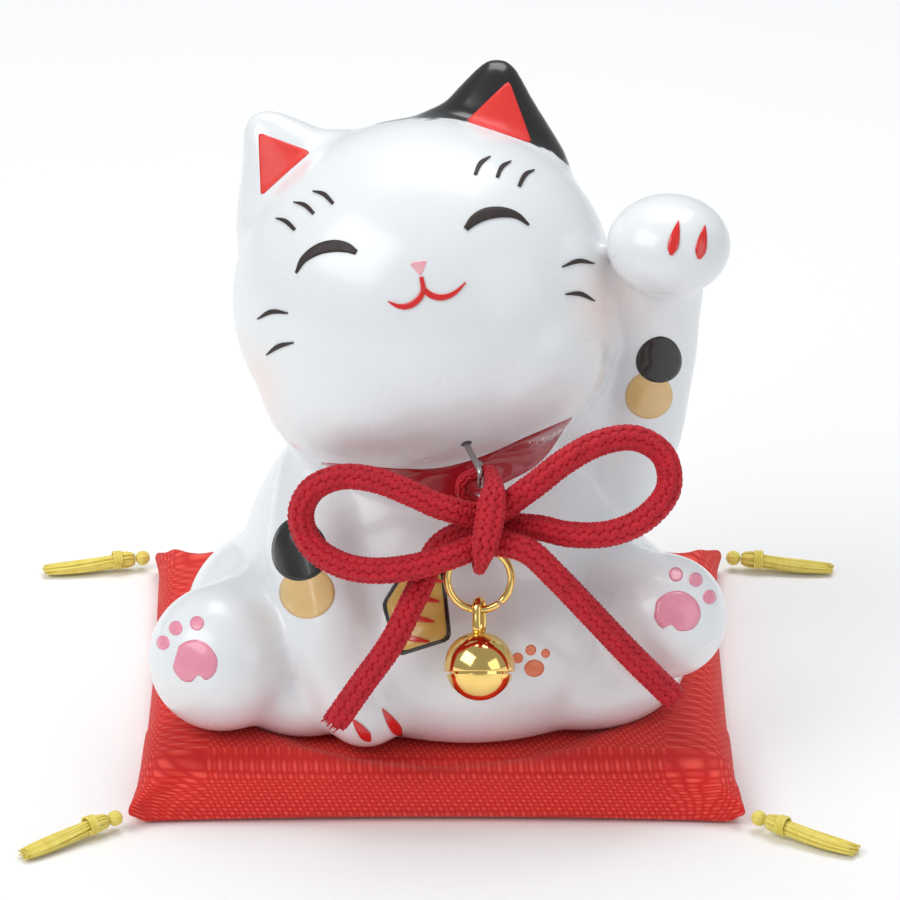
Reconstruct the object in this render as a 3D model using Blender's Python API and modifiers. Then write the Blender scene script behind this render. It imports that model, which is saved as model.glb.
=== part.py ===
"""A beckoning cat figurine on its square cushion: a hollow glazed cat with a wire hook in its chin,
a cord bow on the hook, a jump ring and a jingle bell on the bow, and a cushion with four corner tassels.

World axes: +X to the cat's left hand, which is raised, -Y the way the cat faces, +Z up. The origin is the
centre of the cushion's underside. Lengths below are in millimetres, and MM turns them into metres.
"""

import math

import bmesh
import bpy
from mathutils import Matrix, Vector

MM = 0.001
GAP = 0.3  # left between neighbouring pieces

# The cushion
CUSHION_HALF = (35.6, 33.6)
CUSHION_PINCH = 1.6  # how far the middle of a side pulls in
CUSHION_RIM = 2.5  # height of the seam
CUSHION_TOP = 5.4
BOTTOM_PANEL = 0.6
TOP_PANEL_WALL = 0.7

# The cat
BASE_Z = CUSHION_TOP + GAP
WALL = 3.0
HEAD_CENTRE = (-1.6, -2.0, 53.4)
HEAD_HALF = (22.3, 20.0, 20.4)
CHEEK_HALF = (14.0, 15.0, 12.6)
EAR_THINNESS = 0.72
HEAD_ROLL = math.radians(12.5)
FACE_PITCH = math.radians(25)
DRAIN_RADIUS = 4.0
DRAIN_AT = (2.0, 2.0)

# The bow: its middle, and how far its plane leans back at the top
KNOT = Vector((5.8, -26.37, 33.93))
BOW_LEAN = math.radians(35)
CORD_RADIUS = 1.55
TIE_RADIUS = 0.95
LOOP_RADIUS = 0.8

# The wire hook, the jump ring and the bell
WIRE_RADIUS = 0.35
WIRE_INSIDE = 3.2  # how far it reaches into the chin
HOOK_BEND = 1.45
RING_RADIUS = 3.65
RING_WIRE = 0.45
RING_LEAN = math.radians(13)
RING_SPLIT = math.radians(-50)  # where the ring's ends meet, counted from +X towards the top
BELL_RADIUS = 4.05
BELL_WALL = 0.35
BELL_LIP = 0.55  # how far the upper shell reaches below the equator, over the lower one
BELL_TOP_HOLE = 0.95  # radius
LOWER_SHELL_RADIUS = BELL_RADIUS - 0.15
BELL_SLOT = (4.6, 0.9, 3.4)
SHANK_HALF = 1.25
SHANK_WIRE = 0.3
SHANK_TURN = math.radians(75)  # about the bell's axis, from across to the jump ring
BELL_LEAN = math.radians(28)
BELL_DROP = 6.5  # from the jump ring's wire to the bell's centre
CLAPPER_RADIUS = 1.2

# The tassels
TASSEL_LENGTH = 11.5
TASSEL_HEIGHT = 1.6  # of the knot's centre
TASSEL_SHAPE = (  # (share of the length, radius, height of the middle)
    (0.0, 0.9, 1.6),
    (0.12, 1.15, 1.6),
    (0.28, 0.9, 1.5),
    (0.65, 0.8, 1.15),
    (1.0, 0.35, 0.75),
)
TASSEL_KNOT_RADIUS = 0.95


def clear_scene():
    for obj in list(bpy.data.objects):
        bpy.data.objects.remove(obj, do_unlink=True)


def new_collection(name):
    collection = bpy.data.collections.new(name)
    bpy.context.scene.collection.children.link(collection)
    return collection


def material(name, colour, roughness, metallic=0.0):
    made = bpy.data.materials.new(name)
    made.use_nodes = True
    shader = made.node_tree.nodes["Principled BSDF"]
    shader.inputs["Base Color"].default_value = (*colour, 1.0)
    shader.inputs["Roughness"].default_value = roughness
    shader.inputs["Metallic"].default_value = metallic
    return made


def add_mesh(name, mesh, look=None, collection=None):
    obj = bpy.data.objects.new(name, mesh)
    (collection or PARTS).objects.link(obj)
    if look:
        mesh.materials.append(look)
    return obj


def add_helper(name, mesh):
    obj = add_mesh(name, mesh, collection=CUTTERS)
    obj.hide_render = True
    obj.display_type = "WIRE"
    return obj


def mesh_of(form):
    """A mesh datablock from a bmesh, which it frees."""
    mesh = bpy.data.meshes.new("mesh")
    form.to_mesh(mesh)
    form.free()
    return mesh


def evaluated_mesh(obj):
    graph = bpy.context.evaluated_depsgraph_get()
    return bpy.data.meshes.new_from_object(obj.evaluated_get(graph))


def pivot(name, at):
    empty = bpy.data.objects.new(name, None)
    empty.location = at
    PARTS.objects.link(empty)
    return empty


def hold(child, parent):
    """Parents child to parent and keeps the child where it is."""
    bpy.context.view_layer.update()
    child.parent = parent
    child.matrix_parent_inverse = parent.matrix_world.inverted()


def turned(name, profile, look, segments=32):
    """A solid of revolution about Z from (radius, height) points in millimetres, running top to bottom."""
    form = bmesh.new()
    points = [form.verts.new((radius * MM, 0.0, height * MM)) for radius, height in profile]
    for first, second in zip(points, points[1:]):
        form.edges.new((first, second))
    obj = add_mesh(name, mesh_of(form), look)
    screw = obj.modifiers.new("Turn", "SCREW")
    screw.steps = screw.render_steps = segments
    screw.use_merge_vertices = True
    screw.merge_threshold = 0.00001
    screw.use_smooth_shade = True
    return obj


def smooth_route(points, step):
    """Points every step millimetres along a Catmull-Rom curve through (x, y, z, radius) points."""
    route = [Vector(point) for point in points]
    route = [2 * route[0] - route[1], *route, 2 * route[-1] - route[-2]]
    fine = []
    for before, start, end, after in zip(route, route[1:], route[2:], route[3:]):
        count = max(2, round((end - start).length / step))
        for index in range(count):
            t = index / count
            fine.append(
                0.5
                * (
                    2 * start
                    + (end - before) * t
                    + (2 * before - 5 * start + 4 * end - after) * t * t
                    + (3 * start - 3 * end + after - before) * t**3
                )
            )
    fine.append(route[-2])
    return fine


def tube(name, route, look, closed=False, sides=2):
    """A solid tube along (x, y, z, radius) points in millimetres."""
    curve = bpy.data.curves.new(name, "CURVE")
    curve.dimensions = "3D"
    curve.bevel_depth = MM
    curve.bevel_resolution = sides
    curve.use_fill_caps = not closed
    spline = curve.splines.new("POLY")
    spline.points.add(len(route) - 1)
    spline.use_cyclic_u = closed
    for point, (x, y, z, radius) in zip(spline.points, route):
        point.co = (x * MM, y * MM, z * MM, 1.0)
        point.radius = radius
    curve.materials.append(look)
    obj = bpy.data.objects.new(name, curve)
    PARTS.objects.link(obj)
    return obj


# ---------------------------------------------------------------- the cat


def limb(*balls):
    """Balls (x, y, z, radius) close enough along a limb to read as one form."""
    chain = []
    for first, second in zip(balls, balls[1:]):
        first, second = Vector(first), Vector(second)
        count = max(1, math.ceil((second - first).length / (0.3 * min(first.w, second.w))))
        chain += [tuple(first.lerp(second, index / count)) for index in range(count)]
    return [*chain, balls[-1]]


def head_frame():
    turn = Matrix.Rotation(-FACE_PITCH, 4, "X") @ Matrix.Rotation(-HEAD_ROLL, 4, "Y")
    return Matrix.Translation(Vector(HEAD_CENTRE)) @ turn


def lowered_arm():
    """The cat's right arm, from the shoulder down to the paw that rests on the cushion."""
    shoulder = (-13.0, -5.0, 31.0, 6.0)
    elbow = (-13.8, -13.0, 26.0, 6.2)
    wrist = (-12.0, -19.0, 17.0, 5.9)
    paw = (-8.3, -22.5, 10.6, 5.4)
    return limb(shoulder, elbow, wrist, paw)


def raised_arm():
    """The cat's left arm, straight up from the shoulder to the wrist of the beckoning paw."""
    shoulder = (20.0, 1.0, 27.0, 6.5)
    upper_arm = (23.4, -1.0, 36.0, 5.6)
    forearm = (25.4, -2.0, 46.0, 5.0)
    wrist = (25.8, -4.0, 58.0, 5.3)
    return limb(shoulder, upper_arm, forearm, wrist)


def head_forms():
    """The head, its two cheeks and its two ears, which are thinner from front to back."""
    base = (7.0, 1.0, 12.2, 8.8)
    shoulder = (11.6, 1.0, 10.5, 8.4)
    middle = (11.9, 0.5, 17.5, 5.8)
    tip = (13.7, 0.0, 22.2, 2.9)
    forms = [(head_frame(), HEAD_HALF)]
    for side in (-1, 1):
        cheek = Matrix.Translation((side * 7.0, -1.0, -7.5))
        forms.append((head_frame() @ cheek, CHEEK_HALF))
        for x, y, z, radius in limb(base, shoulder, middle, tip):
            place = Matrix.Translation((side * x, y, z))
            forms.append((head_frame() @ place, (radius, EAR_THINNESS * radius, radius)))
    return forms


def cat_forms():
    """Each form as (matrix in millimetres, half sizes)."""
    ellipsoids = [
        ((0.5, 1.0, 14.0), (24.3, 23.5, 26.5)),  # torso
        ((3.5, -9.5, 13.5), (20.0, 17.0, 13.5)),  # belly
        ((-16.5, -2.0, 12.0), (13.5, 18.0, 9.0)),  # right haunch
        ((-15.5, -13.0, 9.5), (9.5, 11.0, 6.5)),  # right shin
        ((17.5, -4.0, 12.5), (13.0, 17.5, 9.5)),  # left haunch
        ((17.0, -10.0, 10.0), (12.5, 13.0, 7.0)),  # left shin
        ((0.0, -2.0, 34.0), (15.5, 13.0, 8.0)),  # neck
        ((15.5, 1.0, 38.0), (9.0, 8.0, 11.0)),  # left shoulder
        ((26.5, -8.5, 62.2), (7.3, 7.0, 5.9)),  # raised paw
    ]
    limbs = [
        lowered_arm(),
        raised_arm(),
        limb((-19.0, -8.0, 13.0, 8.0), (-25.0, -18.5, 14.4, 8.7)),  # right foot
        limb((19.5, -8.0, 16.0, 7.8), (26.4, -18.0, 19.5, 7.4)),  # left foot
        limb((4.0, 22.0, 11.0, 3.6), (10.5, 24.0, 11.5, 3.6), (15.0, 22.0, 15.0, 3.4)),  # tail
    ]
    forms = [(Matrix.Translation(Vector(centre)), half) for centre, half in ellipsoids]
    for x, y, z, radius in (ball for chain in limbs for ball in chain):
        forms.append((Matrix.Translation(Vector((x, y, z))), (radius,) * 3))
    return forms + head_forms()


def cat_solid(name, inset, voxel, smoothing, keep):
    """All the cat's forms, each made smaller by inset, run together into one smooth closed skin."""
    ball = bmesh.new()
    bmesh.ops.create_uvsphere(ball, u_segments=32, v_segments=20, radius=1.0)
    ball_mesh = mesh_of(ball)
    form = bmesh.new()
    for frame, half in cat_forms():
        if min(half) <= inset + 1.0:
            continue
        shrunk = [size - inset for size in half]
        form.from_mesh(ball_mesh)
        form.verts.ensure_lookup_table()
        matrix = Matrix.Scale(MM, 4) @ frame @ Matrix.Diagonal((*shrunk, 1.0))
        bmesh.ops.transform(form, matrix=matrix, verts=form.verts[-len(ball_mesh.vertices):])
    obj = add_helper(name, mesh_of(form))
    remesh = obj.modifiers.new("Fuse", "REMESH")
    remesh.mode = "VOXEL"
    remesh.voxel_size = voxel * MM
    smooth = obj.modifiers.new("Smooth", "SMOOTH")
    smooth.factor = 0.5
    smooth.iterations = smoothing
    decimate = obj.modifiers.new("Thin", "DECIMATE")
    decimate.ratio = keep
    return obj


def box_cutter(name, size, centre):
    form = bmesh.new()
    scale = Matrix.Diagonal((*(Vector(size) * MM), 1.0))
    bmesh.ops.create_cube(form, size=1.0, matrix=Matrix.Translation(centre * MM) @ scale)
    return add_helper(name, mesh_of(form))


def cylinder_cutter(name, radius, depth, matrix):
    form = bmesh.new()
    bmesh.ops.create_cone(
        form,
        cap_ends=True,
        segments=24,
        radius1=radius * MM,
        radius2=radius * MM,
        depth=depth * MM,
        matrix=Matrix.Scale(MM, 4) @ matrix @ Matrix.Scale(1 / MM, 4),
    )
    return add_helper(name, mesh_of(form))


def cut(obj, *cutters):
    for cutter in cutters:
        boolean = obj.modifiers.new("Cut", "BOOLEAN")
        boolean.operation = "DIFFERENCE"
        boolean.object = cutter


def figurine_body():
    skin = cat_solid("cat_skin", 0.0, 1.2, 8, 0.11)
    cavity = cat_solid("cat_cavity", WALL, 1.5, 3, 0.09)
    ground = box_cutter("ground_cutter", (100.0, 100.0, 40.0), Vector((0.0, 0.0, BASE_Z - 20.0)))
    floor = box_cutter("cavity_floor", (100.0, 100.0, 40.0), Vector((0.0, 0.0, BASE_Z + WALL - 20.0)))
    cut(cavity, floor)
    drain = cylinder_cutter("drain_cutter", DRAIN_RADIUS, 14.0, Matrix.Translation((*DRAIN_AT, BASE_Z)))
    socket = cylinder_cutter("wire_socket", WIRE_RADIUS + GAP, 7.0, wire_socket_frame())
    body = add_mesh("figurine_body", evaluated_mesh(skin), material("white_glaze", (0.86, 0.87, 0.88), 0.08))
    cut(body, ground, cavity, drain, socket)
    body.data.shade_smooth()
    body.data.set_sharp_from_angle(angle=math.radians(50))
    return body


# ---------------------------------------------------------------- the wire hook and the bow


def in_bow(across, up, out):
    """A point of the bow's own plane: across to +X, up along its lean, and out towards the front."""
    up_axis = Vector((0.0, math.sin(BOW_LEAN), math.cos(BOW_LEAN)))
    out_axis = Vector((0.0, -math.cos(BOW_LEAN), math.sin(BOW_LEAN)))
    return KNOT + Vector((across, 0.0, 0.0)) + up * up_axis + out * out_axis


LOOP_TOP = in_bow(-0.9, 7.55, -1.9)  # the strand of the hang loop that lies in the hook
RING_TOP = in_bow(-0.95, -1.0, -2.3)  # the jump ring's wire, where it hangs in the tie
WIRE_EXIT = Vector((3.7, -18.3, 41.0))  # where the wire leaves the chin


def wire_direction():
    start = LOOP_TOP + Vector((0.0, -HOOK_BEND, 0.8))
    return (start - WIRE_EXIT).normalized()


def wire_socket_frame():
    turn = wire_direction().to_track_quat("Z", "Y").to_matrix().to_4x4()
    return Matrix.Translation(WIRE_EXIT - 1.6 * wire_direction()) @ turn


def wire_hook():
    """Straight out of the chin, then round under the hang loop's top strand and up behind it."""
    inner_end = WIRE_EXIT - WIRE_INSIDE * wire_direction()
    bend = []
    for step in range(9):
        angle = math.radians(-170 + 200 * step / 8)
        bend.append(LOOP_TOP + HOOK_BEND * Vector((0.0, math.cos(angle), math.sin(angle))))
    route = [inner_end, WIRE_EXIT, LOOP_TOP + Vector((0.0, -HOOK_BEND, 0.9)), *bend]
    fine = smooth_route([(*point, WIRE_RADIUS) for point in route], 0.6)
    return tube("wire_hook", fine, material("steel_wire", (0.55, 0.55, 0.56), 0.28, 1.0))


def bow_cord():
    """One cord: left tail, behind the knot, right loop, over it, left loop, over it again, right tail."""
    back = tuple(in_bow(0.0, 1.5, -3.4))
    upper = tuple(in_bow(0.0, 2.45, 0.0))
    lower = tuple(in_bow(0.0, -0.95, 0.0))
    left_tail = [
        (-11.6, -31.0, 12.5), (-8.5, -30.6, 17.2), (-5.1, -29.8, 22.1), (-2.3, -27.1, 27.0),
        (0.5, -22.9, 31.0),
    ]
    right_loop = [
        (11.2, -24.6, 34.1), (15.1, -26.2, 34.0), (19.6, -27.0, 34.5), (23.6, -26.2, 36.0),
        (26.3, -24.4, 38.8), (25.8, -22.5, 42.1), (22.6, -22.0, 44.1), (18.5, -22.8, 43.9),
        (14.5, -24.0, 42.1), (10.6, -25.1, 39.3),
    ]
    left_loop = [
        (0.9, -26.3, 37.4), (-2.8, -25.8, 38.9), (-6.7, -24.8, 40.1), (-10.7, -23.8, 40.1),
        (-14.1, -23.2, 38.3), (-15.5, -23.8, 35.3), (-14.3, -25.2, 32.2), (-11.2, -26.8, 30.6),
        (-7.4, -28.0, 30.3), (-3.0, -28.4, 30.9), (1.3, -28.2, 32.1),
    ]
    right_tail = [
        (10.0, -28.3, 33.1), (13.4, -28.9, 30.1), (17.7, -29.2, 25.3), (22.1, -28.8, 20.0),
        (27.0, -27.8, 14.2),
    ]
    route = [*left_tail, back, *right_loop, upper, *left_loop, lower, *right_tail]
    fine = smooth_route([(*point, CORD_RADIUS) for point in route], 3.4)
    return tube("bow_cord", fine, material("crimson_cord", (0.6, 0.01, 0.03), 0.6))


def bow_tie():
    """The strand round the middle: down the back, under, up the front, and over in the hang loop on top."""
    route = [
        (0.2, 2.2, -6.1, TIE_RADIUS), (0.0, 0.2, -5.9, TIE_RADIUS), (-0.5, -1.5, -4.3, 0.9),
        (-0.9, -2.8, -2.4, 0.85), (-0.95, -3.85, -0.3, 0.65), (-0.7, -3.4, 1.8, 0.8),
        (-0.4, -1.9, 3.4, 1.3), (0.1, 0.8, 3.4, 1.5), (0.5, 3.6, 3.4, 1.4), (0.75, 5.4, 2.3, 1.0),
        (0.5, 6.9, 0.3, 0.85), (0.4, 7.5, -0.9, LOOP_RADIUS), (-0.9, 7.55, -1.9, LOOP_RADIUS),
        (-2.6, 6.9, -2.4, LOOP_RADIUS), (-2.8, 5.5, -3.3, LOOP_RADIUS), (-1.3, 4.4, -4.8, LOOP_RADIUS),
        (0.1, 3.2, -6.0, LOOP_RADIUS),
    ]
    placed = [(*in_bow(across, up, out), radius) for across, up, out, radius in route]
    return tube("bow_tie", smooth_route(placed, 1.2), material("crimson_tie", (0.6, 0.01, 0.03), 0.6))


def leaning(angle):
    """Down along a line that leans towards the front by angle."""
    return Vector((0.0, -math.sin(angle), -math.cos(angle)))


RING_CENTRE = RING_TOP + RING_RADIUS * leaning(RING_LEAN)
RING_BOTTOM = RING_TOP + 2 * RING_RADIUS * leaning(RING_LEAN)
BELL_CENTRE = RING_BOTTOM + BELL_DROP * leaning(BELL_LEAN)


def jump_ring():
    """A split ring of round wire, cut a little below the middle of its +X side."""
    up = -leaning(RING_LEAN)
    across = Vector((1.0, 0.0, 0.0))
    half_gap = 0.05
    start = RING_SPLIT + half_gap
    sweep = math.tau - 2 * half_gap
    route = []
    for step in range(37):
        angle = start + sweep * step / 36
        point = RING_CENTRE + RING_RADIUS * (math.sin(angle) * up + math.cos(angle) * across)
        route.append((*point, RING_WIRE))
    return tube("jump_ring", route, material("gold_ring", (0.83, 0.58, 0.16), 0.15, 1.0))


# ---------------------------------------------------------------- the bell


def bell_frame(obj):
    """Stands a bell piece, modelled about the bell's centre with its loop at +Z, in its place."""
    obj.location = BELL_CENTRE * MM
    obj.rotation_euler = (-BELL_LEAN, 0.0, 0.0)
    return obj


def arc(radius, start, end, count):
    """(radius, height) points along a circle, from start to end degrees above the equator."""
    angles = [math.radians(start + (end - start) * index / (count - 1)) for index in range(count)]
    return [(radius * math.cos(angle), radius * math.sin(angle)) for angle in angles]


def bell_upper_shell():
    """The upper half, with a hole for the loop's feet and a lip that laps over the lower half."""
    inner = BELL_RADIUS - BELL_WALL
    hole = math.degrees(math.acos(BELL_TOP_HOLE / BELL_RADIUS))
    profile = [
        *arc(BELL_RADIUS, hole, 0, 9),
        (BELL_RADIUS, -BELL_LIP),
        (inner, -BELL_LIP),
        *arc(inner, 0, hole - 1, 9),
    ]
    gold = material("gold_bell_upper", (0.83, 0.58, 0.16), 0.12, 1.0)
    return bell_frame(turned("bell_upper_shell", [*profile, profile[0]], gold))


def bell_lower_shell():
    """The lower half, nested in the upper half's lip, with the sound slot in its bottom."""
    outer = BELL_RADIUS - BELL_WALL - GAP
    under_lip = -BELL_LIP - GAP
    edge = -0.1
    profile = [
        (outer, edge),
        (outer, under_lip),
        *arc(LOWER_SHELL_RADIUS, -14, -90, 10),
        *arc(LOWER_SHELL_RADIUS - BELL_WALL, -90, -16, 10),
        (outer - BELL_WALL, under_lip),
        (outer - BELL_WALL, edge),
    ]
    gold = material("gold_bell_lower", (0.83, 0.58, 0.16), 0.12, 1.0)
    shell = bell_frame(turned("bell_lower_shell", [*profile, profile[0]], gold))
    slot = box_cutter("bell_slot", BELL_SLOT, Vector((0.0, 0.0, -BELL_RADIUS)))
    cut(shell, bell_frame(slot))
    return shell


def bell_shank():
    """The wire loop on top: up from the bell, round the jump ring, and down again."""
    low = BELL_RADIUS + BELL_LIP
    straight_top = BELL_DROP - 0.2
    route = [(-SHANK_HALF, 0.0, low), (-SHANK_HALF, 0.0, straight_top)]
    for step in range(1, 8):
        angle = math.pi - math.pi * step / 8
        route.append((SHANK_HALF * math.cos(angle), 0.0, BELL_DROP + SHANK_HALF * math.sin(angle)))
    route += [(SHANK_HALF, 0.0, straight_top), (SHANK_HALF, 0.0, low)]
    turn = Matrix.Rotation(SHANK_TURN, 3, "Z")
    placed = [(*(turn @ Vector(point)), SHANK_WIRE) for point in route]
    loop = tube("bell_shank", placed, material("gold_shank", (0.83, 0.58, 0.16), 0.15, 1.0))
    return bell_frame(loop)


def bell_clapper():
    form = bmesh.new()
    height = CLAPPER_RADIUS + GAP - (LOWER_SHELL_RADIUS - BELL_WALL)
    at = Matrix.Translation((0.0, 0.0, height * MM))
    bmesh.ops.create_icosphere(form, subdivisions=2, radius=CLAPPER_RADIUS * MM, matrix=at)
    ball = add_mesh("bell_clapper", mesh_of(form), material("clapper_steel", (0.5, 0.5, 0.5), 0.35, 1.0))
    ball.data.shade_smooth()
    return bell_frame(ball)


# ---------------------------------------------------------------- the cushion


def pillow_mesh(half, low, rim, high, cells=12):
    """A closed pad that domes up from rim, its edge's height, with sides that pull in between its corners."""
    form = bmesh.new()
    bmesh.ops.create_cube(form, size=2.0)
    bmesh.ops.subdivide_edges(form, edges=form.edges[:], cuts=cells - 1, use_grid_fill=True)
    for vertex in form.verts:
        u, v, w = vertex.co
        swell = (1 - u**4) * (1 - v**4)
        x = half[0] * u - math.copysign(CUSHION_PINCH, u) * abs(u) ** 3 * (1 - v * v)
        y = half[1] * v - math.copysign(CUSHION_PINCH, v) * abs(v) ** 3 * (1 - u * u)
        top = rim + (high - rim) * swell**0.35
        z = low + (top - low) * (w + 1) / 2
        vertex.co = Vector((x, y, z)) * MM
    bmesh.ops.triangulate(form, faces=form.faces[:], quad_method="FIXED")
    return mesh_of(form)


def pillow(name, mesh, look):
    obj = add_mesh(name, mesh, look)
    obj.data.shade_smooth()
    obj.data.set_sharp_from_angle(angle=math.radians(50))
    return obj


def cushion():
    red = (0.85, 0.04, 0.03)
    low = BOTTOM_PANEL + GAP
    rim = CUSHION_RIM
    outside = pillow_mesh(CUSHION_HALF, low, rim, CUSHION_TOP)
    top = pillow("cushion_top_panel", outside, material("red_top", red, 0.8))
    inner_half = [half - TOP_PANEL_WALL for half in CUSHION_HALF]
    inner_top = CUSHION_TOP - TOP_PANEL_WALL
    hollow = pillow_mesh(inner_half, low - 1.0, rim - TOP_PANEL_WALL, inner_top)
    cut(top, add_helper("cushion_hollow", hollow))
    slack = GAP + 0.2
    fill_half = [half - slack for half in inner_half]
    padding = pillow_mesh(fill_half, low, rim - TOP_PANEL_WALL - slack, inner_top - slack)
    pillow("cushion_filling", padding, material("wadding", (0.85, 0.83, 0.78), 0.95))
    underside = pillow_mesh(CUSHION_HALF, 0.0, BOTTOM_PANEL, BOTTOM_PANEL, cells=6)
    pillow("cushion_bottom_panel", underside, material("red_bottom", red, 0.8))


def tassel(corner, x_side, y_side, heading):
    """A bundle of yarn that lies on the ground beyond its corner, and the small knot that ties it there."""
    root = Vector((x_side * (CUSHION_HALF[0] + 1.35), y_side * (CUSHION_HALF[1] + 0.4), TASSEL_HEIGHT))
    along = Vector((math.cos(heading), math.sin(heading), 0.0))
    yellow = (0.8, 0.66, 0.12)
    ball = arc(TASSEL_KNOT_RADIUS, 90, -90, 9)
    look = material(f"yellow_knot_{corner}", yellow, 0.8)
    knot = turned(f"tassel_knot_{corner}", ball, look, segments=16)
    knot.location = root * MM
    start = root + along * (TASSEL_KNOT_RADIUS + GAP + 0.2)
    route = []
    for share, radius, height in TASSEL_SHAPE:
        point = start + along * (share * TASSEL_LENGTH)
        route.append((point.x, point.y, height, radius))
    yarn = material(f"yellow_yarn_{corner}", yellow, 0.8)
    bundle = tube(f"tassel_{corner}", smooth_route(route, 1.0), yarn)
    hinge = pivot(f"tassel_hinge_{corner}", root * MM)
    hold(knot, hinge)
    hold(bundle, hinge)


def build():
    cushion()
    figure = figurine_body()
    hook = wire_hook()
    hold(hook, figure)
    bow_hinge = pivot("bow_hinge", LOOP_TOP * MM)
    hold(bow_cord(), bow_hinge)
    hold(bow_tie(), bow_hinge)
    ring_hinge = pivot("ring_hinge", RING_TOP * MM)
    hold(jump_ring(), ring_hinge)
    bell_hinge = pivot("bell_hinge", RING_BOTTOM * MM)
    for piece in (bell_upper_shell(), bell_lower_shell(), bell_shank(), bell_clapper()):
        hold(piece, bell_hinge)
    tassel("back_left", -1, 1, math.radians(190))
    tassel("back_right", 1, 1, math.radians(-8))
    tassel("front_left", -1, -1, math.radians(212))
    tassel("front_right", 1, -1, math.radians(-33))


clear_scene()
PARTS = new_collection("beckoning_cat")
CUTTERS = new_collection("cutters")
build()
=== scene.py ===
"""The looks of the beckoning cat figurine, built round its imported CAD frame.

World axes: +X to the cat's raised left paw, -Y the way it faces, +Z up. The frame is in metres. Lengths
below are in millimetres, and MM turns them into metres.
"""

import math
import random

import bmesh
import bpy
import numpy as np
from mathutils import Matrix, Vector
from mathutils.bvhtree import BVHTree


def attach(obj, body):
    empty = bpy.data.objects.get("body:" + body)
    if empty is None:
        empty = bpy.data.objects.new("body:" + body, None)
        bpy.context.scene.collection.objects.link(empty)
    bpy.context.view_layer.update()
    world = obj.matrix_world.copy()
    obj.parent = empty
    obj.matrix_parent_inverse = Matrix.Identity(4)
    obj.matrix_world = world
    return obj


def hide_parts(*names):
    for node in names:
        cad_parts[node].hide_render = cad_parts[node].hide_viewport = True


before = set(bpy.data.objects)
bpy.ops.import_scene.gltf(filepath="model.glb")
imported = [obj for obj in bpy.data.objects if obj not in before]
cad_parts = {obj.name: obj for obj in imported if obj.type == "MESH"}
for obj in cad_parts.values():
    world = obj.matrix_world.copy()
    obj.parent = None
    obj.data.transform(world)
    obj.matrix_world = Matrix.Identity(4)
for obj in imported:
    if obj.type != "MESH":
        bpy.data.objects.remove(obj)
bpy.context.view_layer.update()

MM = 0.001
DRAWS = random.Random(7)

# Driving dimensions. They follow the CAD's, except where a comment says otherwise
BASE_Z = 5.7
HEAD_CENTRE = (-1.6, -2.0, 53.4)
HEAD_HALF = (22.3, 20.0, 20.4)
CHEEK_HALF = (14.0, 15.0, 12.6)
EAR_THINNESS = 0.72
HEAD_ROLL = math.radians(12.5)
FACE_PITCH = math.radians(25)
DRAIN_AT = (2.0, 2.0)
DRAIN_RADIUS = 4.0
DRAIN_DEPTH = 14.0  # of the cylinder that cuts it
FOOT_CUT = 40.0  # height of the block that cuts the cat flat at its foot
WIRE_SOCKET_DEPTH = 7.0
KNOT = Vector((5.8, -26.37, 33.93))
BOW_LEAN = math.radians(35)
CORD_RADIUS = 1.55
WIRE_RADIUS = 0.35
HOOK_BEND = 1.45
WIRE_INSIDE = 3.2
RING_RADIUS = 3.65
RING_WIRE = 0.45
RING_LEAN = math.radians(13)
RING_SPLIT = math.radians(-50)
BELL_RADIUS = 4.05
BELL_WALL = 0.35
BELL_LIP = 0.55
BELL_TOP_HOLE = 0.95
BELL_SLOT = (5.0, 0.8, 3.4)  # a little longer and narrower than the CAD's
SLOT_END_RADIUS = 0.85  # of the round hole at each end of the slot
SLOT_END_DEPTH = 3.0
SLOT_END_OUT = 2.4  # from the bell's axis
SLOT_END_DOWN = 3.1  # below the bell's centre
BELL_LEAN = math.radians(28)
BELL_DROP = 6.5
SHANK_HALF = 1.25
SHANK_WIRE = 0.3
SHANK_TURN = math.radians(75)
CUSHION_HALF = (35.6, 33.6)
CUSHION_PINCH = 0.5  # the cover's sides pull in less than the CAD's
CUSHION_TOP = 5.4
TASSEL_LENGTH = 11.5
TASSEL_HEIGHT = 1.6
TASSEL_KNOT_RADIUS = 0.95


# ---------------------------------------------------------------- camera, lights and floor

CAMERA_LENS = 237.4  # on a 36 mm sensor
CAMERA_DISTANCE = 0.7  # metres
CAMERA_ELEVATION = math.radians(25)
CAMERA_TARGET = (1.5, 1.0, 31.9)
LIGHT_TARGET = (0.0, 0.0, 0.035)
LIGHTS = (  # (name, place in metres, size in metres, watts, colour)
    ("key", (-0.42, -0.30, 0.52), (0.55, 0.40), 2.3, (1.0, 0.99, 0.97)),
    ("fill", (0.55, -0.42, 0.26), (0.45, 0.45), 0.7, (0.96, 0.98, 1.0)),
    ("top", (0.05, 0.22, 0.62), (0.50, 0.35), 2.2, (1.0, 1.0, 1.0)),
)
ROOM_COLOUR = (0.93, 0.96, 1.0, 1.0)
ROOM_STRENGTH = 0.40
FLOOR_RADIUS = 3.0
FLOOR_COLOUR = (0.93, 0.93, 0.93, 1.0)


def add_object(name, data):
    obj = bpy.data.objects.new(name, data)
    bpy.context.scene.collection.objects.link(obj)
    return obj


def camera():
    data = bpy.data.cameras.new("camera")
    data.sensor_width = 36.0
    data.lens = CAMERA_LENS
    data.clip_start = 0.02
    obj = add_object("camera", data)
    back = Vector((0.0, -math.cos(CAMERA_ELEVATION), math.sin(CAMERA_ELEVATION)))
    obj.location = Vector(CAMERA_TARGET) * MM + CAMERA_DISTANCE * back
    obj.rotation_euler = (math.pi / 2 - CAMERA_ELEVATION, 0.0, 0.0)
    bpy.context.scene.camera = obj


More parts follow.
